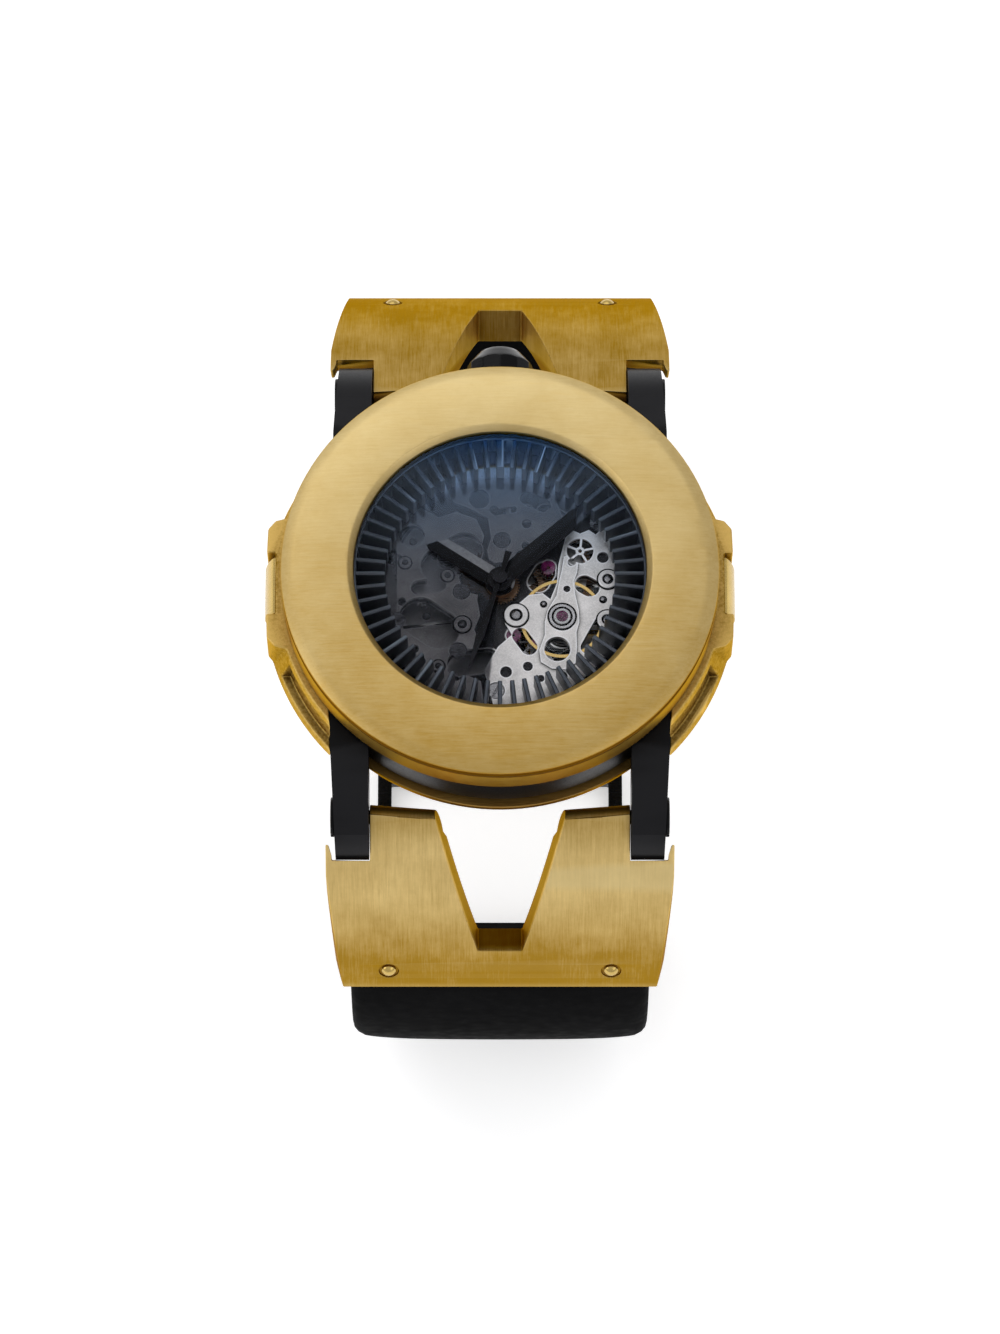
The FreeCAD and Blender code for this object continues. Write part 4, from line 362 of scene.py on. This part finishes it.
def leather(name, colour):
    """Smooth near-black calf: fine pores, soft creases and a low sheen."""
    g = Graph(name)
    pores = g.cells(g.place(), 1500.0)
    pebble = g.cells(g.place(scale=(1, 1.25, 1.25)), 900.0, "SMOOTH_F1")
    crease = g.noise(g.place(scale=(240, 900, 900)), 1.0, 5.0, 0.6)
    cloud = g.noise(g.place(), 120.0, 4.0, 0.55)
    tone = g.mix(g.ramp(cloud, 0.3, 0.75), rgb(*colour), toned(colour, 1.55))
    tone = g.mix(g.ramp(pores, 0.0, 0.25, 0.5, 0.0), tone, toned(colour, 0.45))
    normal = g.bump(pebble, 0.22, 0.00008)
    normal = g.bump(crease, 0.22, 0.00012, normal)
    normal = g.bump(g.ramp(pores, 0.0, 0.3), 0.18, 0.00003, normal)
    g.principled(Base_Color=tone, Roughness=g.ramp(pebble, 0.1, 0.7, 0.46, 0.62), Normal=normal,
                 Specular_IOR_Level=0.006)
    return g.material


def rubber(name, colour):
    """Matt seal rubber with fine specks."""
    g = Graph(name)
    speck = g.noise(g.place(), 2400.0, 3.0, 0.6)
    tone = g.mix(g.ramp(speck, 0.3, 0.7), rgb(*colour), toned(colour, 1.8))
    g.principled(Base_Color=tone, Roughness=0.7, Normal=g.bump(speck, 0.2, 0.00002))
    return g.material


def ruby(name):
    """A polished red jewel."""
    g = Graph(name)
    depth = g.noise(g.place(), 1800.0, 2.0, 0.5)
    tone = g.mix(g.ramp(depth, 0.35, 0.7), rgb(0.05, 0.003, 0.03), rgb(0.22, 0.015, 0.12))
    node = g.principled(Base_Color=tone, Roughness=0.08, Normal=g.bump(depth, 0.1, 0.00001))
    node.inputs["Coat Weight"].default_value = 0.8
    node.inputs["Coat Roughness"].default_value = 0.04
    return g.material


def see_through(g, tint, gloss, amount, roughness=0.03):
    """Transparent with a tint, under a thin reflecting coat of the gloss colour."""
    clear = g.add("ShaderNodeBsdfTransparent")
    g.feed(clear, "Color", tint)
    coat = g.add("ShaderNodeBsdfGlossy")
    g.feed(coat, "Color", gloss)
    g.feed(coat, "Roughness", roughness)
    blend = g.add("ShaderNodeMixShader")
    g.feed(blend, 0, amount)
    g.link(clear.outputs[0], blend.inputs[1])
    g.link(coat.outputs[0], blend.inputs[2])
    g.link(blend.outputs[0], g.out.inputs["Surface"])


def crystal_glass(name):
    """Sapphire whose coating carries a painted dark-blue reflection that grows towards 12 o'clock."""
    g = Graph(name)
    y = g.split(g.place())[1]
    haze = g.noise(g.place(), 90.0, 3.0, 0.5)
    # painted reflection: the blue grows towards 12 o'clock
    painted_blue = g.ramp(g.math("ADD", y, g.math("MULTIPLY", haze, 0.003)), 0.0005, 0.0155)
    painted_blue = g.math("POWER", painted_blue, 1.6)
    # painted reflection: deepest blue near the rim at 12 o'clock
    painted_brim = g.ramp(y, 0.0105, 0.0145)
    tint = g.mix(painted_blue, rgb(0.98, 0.98, 0.99), rgb(0.76, 0.86, 0.97))
    gloss = g.mix(painted_blue, rgb(0.5, 0.6, 0.75), rgb(0.50, 0.62, 0.80))
    gloss = g.mix(painted_brim, gloss, rgb(0.04, 0.22, 0.55))
    amount = g.math("ADD", g.math("MULTIPLY", painted_blue, 0.03), 0.002)
    see_through(g, tint, gloss, amount)
    return g.material


def back_glass(name):
    """The clear window in the back."""
    g = Graph(name)
    haze = g.noise(g.place(), 200.0, 3.0, 0.5)
    see_through(g, rgb(0.95, 0.97, 0.98), rgb(0.9, 0.95, 1.0), g.ramp(haze, 0.3, 0.7, 0.05, 0.07))
    return g.material


def smoked_film(name, start, stop):
    """The dial: smoked all round, except a clear sector from start to stop, clockwise from 12; a painted
    reflection strengthens towards 12 o'clock, with a painted pale ring near the rim there.
    """
    g = Graph(name)
    x, y, _ = g.split(g.place())
    turn = g.bearing(x, y)
    whole = g.math("ADD", turn, g.math("MULTIPLY", g.math("LESS_THAN", turn, 0.0), 360.0))
    inside = g.math("MULTIPLY", g.ramp(whole, start - 0.6, start + 0.6), g.ramp(whole, stop + 0.6, stop - 0.6))
    cloud = g.noise(g.place(), 260.0, 3.0, 0.5)
    smoke = g.mix(g.ramp(cloud, 0.3, 0.7), rgb(0.55, 0.55, 0.56), rgb(0.61, 0.61, 0.62))
    tint = g.mix(inside, smoke, rgb(0.98, 0.98, 0.98))
    gloss = g.mix(inside, rgb(0.55, 0.60, 0.68), rgb(0.6, 0.6, 0.6))
    # painted reflection: the film's gloss grows towards 12 o'clock
    painted_veil = g.math("POWER", g.ramp(y, -0.006, 0.0125), 1.5)
    painted_veil = g.math("ADD", g.math("MULTIPLY", painted_veil, 0.16), 0.010)
    # painted highlight: a pale ring near the rim at 12 o'clock, lighting the gaps between the fins
    painted_brim = g.math("MULTIPLY", g.ramp(g.length(x, y), 0.0108, 0.0120), g.ramp(y, 0.004, 0.011))
    painted_veil = g.math("ADD", painted_veil, g.math("MULTIPLY", painted_brim, 0.26))
    amount = g.mix(inside, painted_veil, rgb(0.003, 0.003, 0.003))
    see_through(g, tint, gloss, amount, 0.07)
    return g.material


CLEAR_FROM, CLEAR_TO = 50.0, 186.0     # the dial's clear sector, in degrees clockwise from 12
HOUR_BEARING = 146.0                   # the hour hand at rest, in degrees anticlockwise from 3


def make_materials():
    across, along = (300, 4200, 4200), (6000, 260, 260)
    return {
        "gold_brushed": brushed_metal("gold_brushed", (0.69, 0.54, 0.26), (0.44, 0.27, 0.055), across,
                                      bezel_painted_light, 0.42, 0.5),
        "gold_plate": brushed_metal("gold_plate", (0.86, 0.65, 0.28), (0.33, 0.19, 0.022), along,
                                    plate_painted_light, 0.47),
        "gold_textured": sanded_gold("gold_textured", (0.55, 0.37, 0.11), (0.26, 0.15, 0.022)),
        "gold_polished": polished_metal("gold_polished", (0.58, 0.41, 0.13), 0.24),
        "black_steel": coated_steel("black_steel", (0.0045, 0.0045, 0.005)),
        "black_gloss": polished_metal("black_gloss", (0.004, 0.004, 0.0045), 0.22, 0.8),
        "leather_black": leather("leather_black", (0.0035, 0.0035, 0.0037)),
        "glass_clear": crystal_glass("glass_clear"),
        "back_glass": back_glass("back_glass"),
        "dial_smoke": smoked_film("dial_smoke", CLEAR_FROM, CLEAR_TO),
        "rehaut_black": flange_black("rehaut_black"),
        "hand_black": coated_steel("hand_black", HAND_BLACK),
        "hour_painted_facets": hand_painted_facet("hour_painted_facets", HOUR_BEARING),
        "rhodium": bridge_metal("rhodium", (0.92, 0.90, 0.87), (0.56, 0.55, 0.53)),
        # near black: painted shade, so that what shows through the bridges' openings reads as shadow
        "ruthenium": bridge_metal("ruthenium", (0.05, 0.05, 0.053), (0.02, 0.02, 0.022)),
        "steel_polished": polished_metal("steel_polished", (0.34, 0.34, 0.35), 0.22, corner_shade=True),
        "steel_bright": polished_metal("steel_bright", (0.55, 0.55, 0.56), 0.2, corner_shade=True),
        "gilt": polished_metal("gilt", (0.85, 0.60, 0.22), 0.22),
        "copper_alloy": polished_metal("copper_alloy", (0.24, 0.15, 0.09), 0.30),
        "ruby": ruby("ruby"),
        "seal_rubber": rubber("seal_rubber", (0.012, 0.012, 0.012)),
    }


MATERIALS = make_materials()
SLOT_OF = {entry["node"]: entry["material_slot"] for entry in frame["record"]["subparts"]}


def dress(obj, material):
    """Give an object one material in place of what it has."""
    obj.data.materials.clear()
    obj.data.materials.append(MATERIALS[material])


# Looks that differ from their slot's usual one.
NODE_LOOKS = {
    # the main plate is near-black ruthenium: painted shade for the holes above it
    "back_crystal": "back_glass", "main_plate": "ruthenium", "hour_hand": "hour_painted_facets",
    "case_chassis": "gold_brushed", "hour_wheel": "copper_alloy", "minute_wheel": "copper_alloy",
    "center_wheel": "copper_alloy", "third_wheel": "copper_alloy", "fourth_wheel": "copper_alloy",
}


def look_of(node):
    return NODE_LOOKS.get(node, SLOT_OF[node])


def dress_cad_nodes():
    for name, obj in frame["nodes"].items():
        dress(obj, look_of(name))


# ---------------------------------------------------------------- mesh helpers


def new_object(name, vertices, faces, material, body):
    """A piece from vertices in metres, riding on a body."""
    mesh = bpy.data.meshes.new(name)
    mesh.from_pydata([tuple(v) for v in vertices], [], faces)
    mesh.update()
    obj = bpy.data.objects.new(name, mesh)
    bpy.context.scene.collection.objects.link(obj)
    dress(obj, material)
    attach(obj, body)
    return obj


WELD, SEAM = 2e-6, 1e-6       # metres: closest vertices kept apart, before and after rounding
FLAT = 0.06                   # degrees: faces closer than this in angle become one
CORNER, SHARP = 24.0, 48.0    # degrees: edges above CORNER are rounded, and above SHARP stay creased


def refined(node, bevel):
    """A copy of a CAD node with its edges rounded over; it stands for that node."""
    work = bmesh.new()
    work.from_mesh(frame["nodes"][node].data)
    bmesh.ops.remove_doubles(work, verts=work.verts, dist=WELD)
    bmesh.ops.dissolve_limit(work, angle_limit=math.radians(FLAT), verts=work.verts, edges=work.edges)
    corners = [e for e in work.edges if e.is_manifold and e.calc_face_angle(0) > math.radians(CORNER)]
    bmesh.ops.bevel(work, geom=corners, offset=bevel, offset_type="OFFSET", segments=2, profile=0.5,
                    affect="EDGES", clamp_overlap=False, miter_outer="ARC")
    bmesh.ops.remove_doubles(work, verts=work.verts, dist=SEAM)
    mesh = bpy.data.meshes.new(node + "_fine")
    work.to_mesh(mesh)
    work.free()
    obj = bpy.data.objects.new(node + "_fine", mesh)
    bpy.context.scene.collection.objects.link(obj)
    dress(obj, look_of(node))
    for face in mesh.polygons:
        face.use_smooth = True
    mesh.set_sharp_from_angle(angle=math.radians(SHARP))
    weigh = obj.modifiers.new("weigh", "WEIGHTED_NORMAL")
    weigh.keep_sharp = True
    weigh.mode = "FACE_AREA"
    body = next(b for b, nodes in frame["record"]["behaviour"]["bodies"].items() if node in nodes)
    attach(obj, body)
    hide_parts(node)


# ---------------------------------------------------------------- strap


def turtle(runs, start, heading, pace):
    """Points and headings along tangent arcs, one every pace metres; runs are (millimetres, degrees)."""
    out, up = start
    spots = [(out, up, heading)]
    for length, turn in runs:
        steps = max(1, round(length * MM / pace))
        piece, bend = length * MM / steps, turn / steps
        for _ in range(steps):
            middle = math.radians(heading + bend / 2)
            out += piece * math.cos(middle)
            up -= piece * math.sin(middle)
            heading += bend
            spots.append((out, up, heading))
    return spots


def to_world(out, up, x, side, tilt):
    """A point of the hinge frame in the watch's frame; side is -1 at 6 o'clock and 1 at 12."""
    lean = math.radians(tilt)
    y, z = -out, up
    y, z = y * math.cos(lean) - z * math.sin(lean), y * math.sin(lean) + z * math.cos(lean)
    if side > 0:
        x, y = -x, -y
    return Vector((x, y + side * PIN_OUT, z + PIN_UP))


def strap_section(half, thick):
    """Closed outline of the strap: a crowned face, rounded edges and a flatter lining."""
    points = []
    across, corner = 28, 0.5
    for i in range(across + 1):
        s = -1 + 2 * i / across
        crown = thick * 0.5 * (1 - 0.08 * s ** 2 - 0.12 * s ** 6)
        points.append((s * (half - thick * corner), crown))
    for i in range(1, 8):
        a = math.pi / 2 - math.pi * i / 8
        points.append((half - thick * corner * (1 - math.cos(a)), thick * 0.40 * math.sin(a)))
    for i in range(across + 1):
        s = 1 - 2 * i / across
        points.append((s * (half - thick * corner), -thick * 0.47))
    for i in range(1, 8):
        a = -math.pi / 2 - math.pi * i / 8
        points.append((thick * corner * (1 + math.cos(a)) - half, thick * 0.40 * math.sin(a)))
    return points


def strap_half(name, side, tilt, runs, body, node):
    """One leather half, swept along its runs from the end plate; it stands for a CAD node."""
    bend = BEND - STRAP_STEP - STRAP_THICK / 2
    end = math.radians(PLATE_END)
    start = (bend * math.sin(end) - CENTRE_OUT, bend * math.cos(end) - CENTRE_DOWN)
    spots = turtle(runs, start, PLATE_END, STRAP_PACE)
    vertices, rings = [], []
    last = len(spots) - 1
    for i, (out, up, heading) in enumerate(spots):
        share = min(1.0, max(0.0, (-up - NARROW_FROM) / (NARROW_TO - NARROW_FROM)))
        half = STRAP_HALF + (STRAP_END_HALF - STRAP_HALF) * share
        thick = STRAP_THICK * 0.97
        nearness = min(i, last - i) / 2.0
        if nearness < 1.0:
            thick *= 0.90 + 0.10 * nearness
            half -= 0.15 * MM * (1 - nearness)
        normal = math.radians(heading)
        ring = []
        for x, d in strap_section(half, thick):
            point = to_world(out + d * math.sin(normal), up + d * math.cos(normal), x, side, tilt)
            ring.append(len(vertices))
            vertices.append(point)
        rings.append(ring)
    faces = []
    for a, b in zip(rings, rings[1:]):
        for i in range(len(a)):
            j = (i + 1) % len(a)
            faces.append((a[i], b[i], b[j], a[j]))
    faces.append(tuple(rings[0]))
    faces.append(tuple(reversed(rings[-1])))
    obj = new_object(name, vertices, faces, "leather_black", body)
    for face in obj.data.polygons:
        face.use_smooth = len(face.vertices) == 4
    work = bmesh.new()
    work.from_mesh(obj.data)
    bmesh.ops.recalc_face_normals(work, faces=work.faces)
    work.to_mesh(obj.data)
    work.free()
    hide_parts(node)


# ---------------------------------------------------------------- movement details


MOVEMENT = 47.5        # millimetres: the movement's zero level above the foot of the loop
BUSHES = [(10.9, 0.8, 1.0), (10.8, -3.6, 1.0), (1.62, -3.1, 1.2), (-3.8, -4.1, 0.85), (-5.3, 1.2, 0.6),
          (2.2, 3.3, 0.5), (-9.6, 2.6, 0.6), (-6.2, -8.6, 0.6)]
PINS = [(10.4, -1.4, 0.25), (-0.6, 8.4, 0.3), (-7.4, -3.2, 0.25), (4.4, -1.9, 0.22), (-8.8, 4.9, 0.25)]
SHOCK = (6.26, -3.3)


def lathe(profile, x, y):
    """Vertices and faces of a profile of (radius, level) in millimetres, turned about (x, y)."""
    vertices, faces, count = [], [], 48
    for radius, level in profile:
        for i in range(count):
            a = 2 * math.pi * i / count
            spot = (x + radius * math.cos(a), y + radius * math.sin(a), MOVEMENT + level)
            vertices.append([c * MM for c in spot])
    for row in range(len(profile) - 1):
        for i in range(count):
            j = (i + 1) % count
            a, b = row * count, (row + 1) * count
            faces.append((a + i, b + i, b + j, a + j))
    return vertices, faces


def turned_set(name, shapes, material, body="case"):
    """One piece made of several turned shapes; shapes are (profile, x, y)."""
    vertices, faces = [], []
    for profile, x, y in shapes:
        more, around = lathe(profile, x, y)
        faces += [tuple(len(vertices) + i for i in face) for face in around]
        vertices += more
    obj = new_object(name, vertices, faces, material, body)
    for face in obj.data.polygons:
        face.use_smooth = True
    obj.data.set_sharp_from_angle(angle=math.radians(35))


# Profiles of (radius, level) in millimetres.


def bush(outer):
    """A chamfered ring let into the bridge."""
    inner = outer * 0.55
    return [(inner, 6.28), (inner, 6.46), (inner + 0.05, 6.5),
            (outer - 0.06, 6.5), (outer, 6.45), (outer, 6.28)]


def well_shade(outer):
    """The floor inside a bush, black as painted shade down the hole."""
    return [(0.01, 6.40), (outer * 0.57, 6.40)]


def pin(radius):
    """A domed pin end."""
    return [(radius, 6.3), (radius, 6.52), (radius * 0.8, 6.58), (radius * 0.45, 6.61), (0.01, 6.62)]


def groove_shade(outer):
    """A flat black ring round a bush: painted shade standing for a shallow groove."""
    return [(outer, 6.325), (outer + 0.16, 6.325)]


SHOCK_RING = [(0.60, 6.5), (0.60, 6.6), (0.84, 6.6), (0.9, 6.54), (0.9, 6.45)]
SHOCK_RIM = [(1.06, 6.45), (1.06, 6.56), (1.30, 6.56), (1.36, 6.5)]
# flat black rings in the gaps of the shock setting: painted shade
SHOCK_GAP_SHADES = [[(0.9, 6.5), (1.06, 6.5)], [(1.36, 6.51), (1.5, 6.51)]]
SHOCK_STONE = [(0.6, 6.52), (0.45, 6.58), (0.2, 6.62), (0.01, 6.63)]


def toothed_arc(name, at, inner, outer, start, stop, teeth, depth, level, material, body="case"):
    """Part of a wheel's rim that shows beside a bridge; with no depth it is plain."""
    x, y = at
    vertices, faces = [], []
    for i in range(teeth * 4 + 1):
        a = math.radians(start + (stop - start) * i / (teeth * 4))
        tip = outer if i % 4 in (1, 2) else outer - depth
        for radius in (inner, (inner + outer - depth) / 2, tip):
            spot = (x + radius * math.cos(a), y + radius * math.sin(a), MOVEMENT + level)
            vertices.append([c * MM for c in spot])
    for i in range(teeth * 4):
        for k in (0, 1):
            a = 3 * i + k
            faces.append((a, a + 1, a + 4, a + 3))
    new_object(name, vertices, faces, material, body)


def movement_details():
    """Small pieces on the movement that show through the dial."""
    turned_set("bridge_bushes", [(bush(r), x, y) for x, y, r in BUSHES], "rhodium")
    turned_set("bush_well_shade", [(well_shade(r), x, y) for x, y, r in BUSHES], "black_gloss")
    turned_set("bush_groove_shade", [(groove_shade(r), x, y) for x, y, r in BUSHES + PINS], "black_gloss")
    turned_set("bush_pins", [(pin(0.36 * r), x, y) for x, y, r in BUSHES]
               + [(pin(r), x, y) for x, y, r in PINS], "steel_polished")
    turned_set("shock_ring_set", [(SHOCK_RING, *SHOCK), (SHOCK_RIM, *SHOCK)], "steel_bright")
    turned_set("shock_gap_shade", [(gap, *SHOCK) for gap in SHOCK_GAP_SHADES], "black_gloss")
    turned_set("shock_stone", [(SHOCK_STONE, *SHOCK)], "ruby")
    toothed_arc("ratchet_edge", (-3.7, 2.1), 2.9, 3.35, 55, 165, 30, 0.17, 6.36, "steel_bright")
    toothed_arc("balance_rim", SHOCK, 3.9, 4.22, 0, 360, 30, 0.0, 5.925, "gilt", "balance")


# ---------------------------------------------------------------- stage, light and camera


AIM = (0, 0, 0.05)      # what the lights point at
LIGHTS = [              # name, place, width, height, watts
    ("key", (-0.25, 0.60, 0.75), 1.1, 0.7, 1.9),
    ("fill", (0.5, -0.45, 0.5), 0.5, 0.4, 0.6),
    ("left", (-0.7, -0.2, 0.45), 0.5, 0.4, 1.1),
]


def studio():
    """An even pale world, a little brighter overhead."""
    scene = bpy.context.scene
    scene.view_settings.view_transform = "Standard"
    scene.view_settings.look = "None"
    world = bpy.data.worlds.new("studio")
    scene.world = world
    world.use_nodes = True
    tree = world.node_tree
    tree.nodes.clear()
    coords = tree.nodes.new("ShaderNodeTexCoord")
    parts = tree.nodes.new("ShaderNodeSeparateXYZ")
    ramp = tree.nodes.new("ShaderNodeValToRGB")
    back = tree.nodes.new("ShaderNodeBackground")
    out = tree.nodes.new("ShaderNodeOutputWorld")
    tree.links.new(coords.outputs["Generated"], parts.inputs[0])
    tree.links.new(parts.outputs["Z"], ramp.inputs["Fac"])
    tree.links.new(ramp.outputs["Color"], back.inputs["Color"])
    tree.links.new(back.outputs["Background"], out.inputs["Surface"])
    stops = ramp.color_ramp.elements
    stops[0].position, stops[0].color = 0.0, (0.62, 0.62, 0.63, 1)
    stops[1].position, stops[1].color = 1.0, (0.80, 0.80, 0.80, 1)
    middle = stops.new(0.6)
    middle.color = (0.66, 0.66, 0.67, 1)
    back.inputs["Strength"].default_value = 1.0


def soft_light(name, spot, width, height, power):
    data = bpy.data.lights.new(name, "AREA")
    data.shape = "RECTANGLE"
    data.size, data.size_y = width, height
    data.energy = power
    obj = bpy.data.objects.new(name, data)
    obj.location = spot
    obj.rotation_euler = (Vector(AIM) - Vector(spot)).to_track_quat("-Z", "Y").to_euler()
    bpy.context.scene.collection.objects.link(obj)


def floor():
    """A wide sheet of pale paper."""
    size = 3.0
    mesh = bpy.data.meshes.new("floor")
    corners = [(-size, -size, 0), (size, -size, 0), (size, size, 0), (-size, size, 0)]
    mesh.from_pydata(corners, [], [(0, 1, 2, 3)])
    obj = bpy.data.objects.new("floor", mesh)
    bpy.context.scene.collection.objects.link(obj)
    g = Graph("floor_paper")
    cloud = g.noise(g.place(), 2.0, 2.0, 0.5)
    tone = g.mix(cloud, rgb(0.93, 0.93, 0.93), rgb(0.96, 0.96, 0.96))
    paper = g.principled(Base_Color=tone, Roughness=0.9)
    paper.inputs["Emission Color"].default_value = rgb(1, 1, 1)
    paper.inputs["Emission Strength"].default_value = 0.42
    mesh.materials.append(g.material)


def camera():
    """Looks down at the dial from the 6 o'clock side, 21 degrees off the dial's normal."""
    distance, elevation = 0.600, math.radians(69.0)
    down = Vector((0, -math.sin(elevation), -math.cos(elevation)))
    back = Vector((0, -math.cos(elevation), math.sin(elevation)))
    target = Vector((0, 0, TOP)) + down * 0.01032
    data = bpy.data.cameras.new("camera")
    data.sensor_width = 36.0
    data.lens = 161.91904
    data.clip_start, data.clip_end = 0.01, 10.0
    obj = bpy.data.objects.new("camera", data)
    obj.location = target + back * distance
    obj.rotation_mode = "QUATERNION"
    obj.rotation_quaternion = (-back).to_track_quat("-Z", "Y")
    bpy.context.scene.collection.objects.link(obj)
    bpy.context.scene.camera = obj


camera()
studio()
floor()
for light in LIGHTS:
    soft_light(*light)
dress_cad_nodes()
BEVELS = {              # millimetres that each CAD node's edges are rounded by
    "bezel": 0.10, "link_plate_12": 0.10, "link_plate_6": 0.10, "case_chassis": 0.12,
    "side_guard_left": 0.16, "side_guard_right": 0.16, "side_claw_left": 0.14, "side_claw_right": 0.14,
    "crown": 0.12, "clasp_cover": 0.15, "clasp_frame": 0.15, "hinge_pins": 0.10, "case_back": 0.12,
    "hour_hand": 0.03, "minute_hand": 0.03, "rehaut_ring": 0.05,
}
for node_name, width in BEVELS.items():
    refined(node_name, width * MM)
movement_details()
strap_half("strap_leather_6", -1, LOWER_TILT, LOWER_RUNS, "link_6", "strap_6")
strap_half("strap_leather_12", 1, UPPER_TILT, UPPER_RUNS, "link_12", "strap_12")
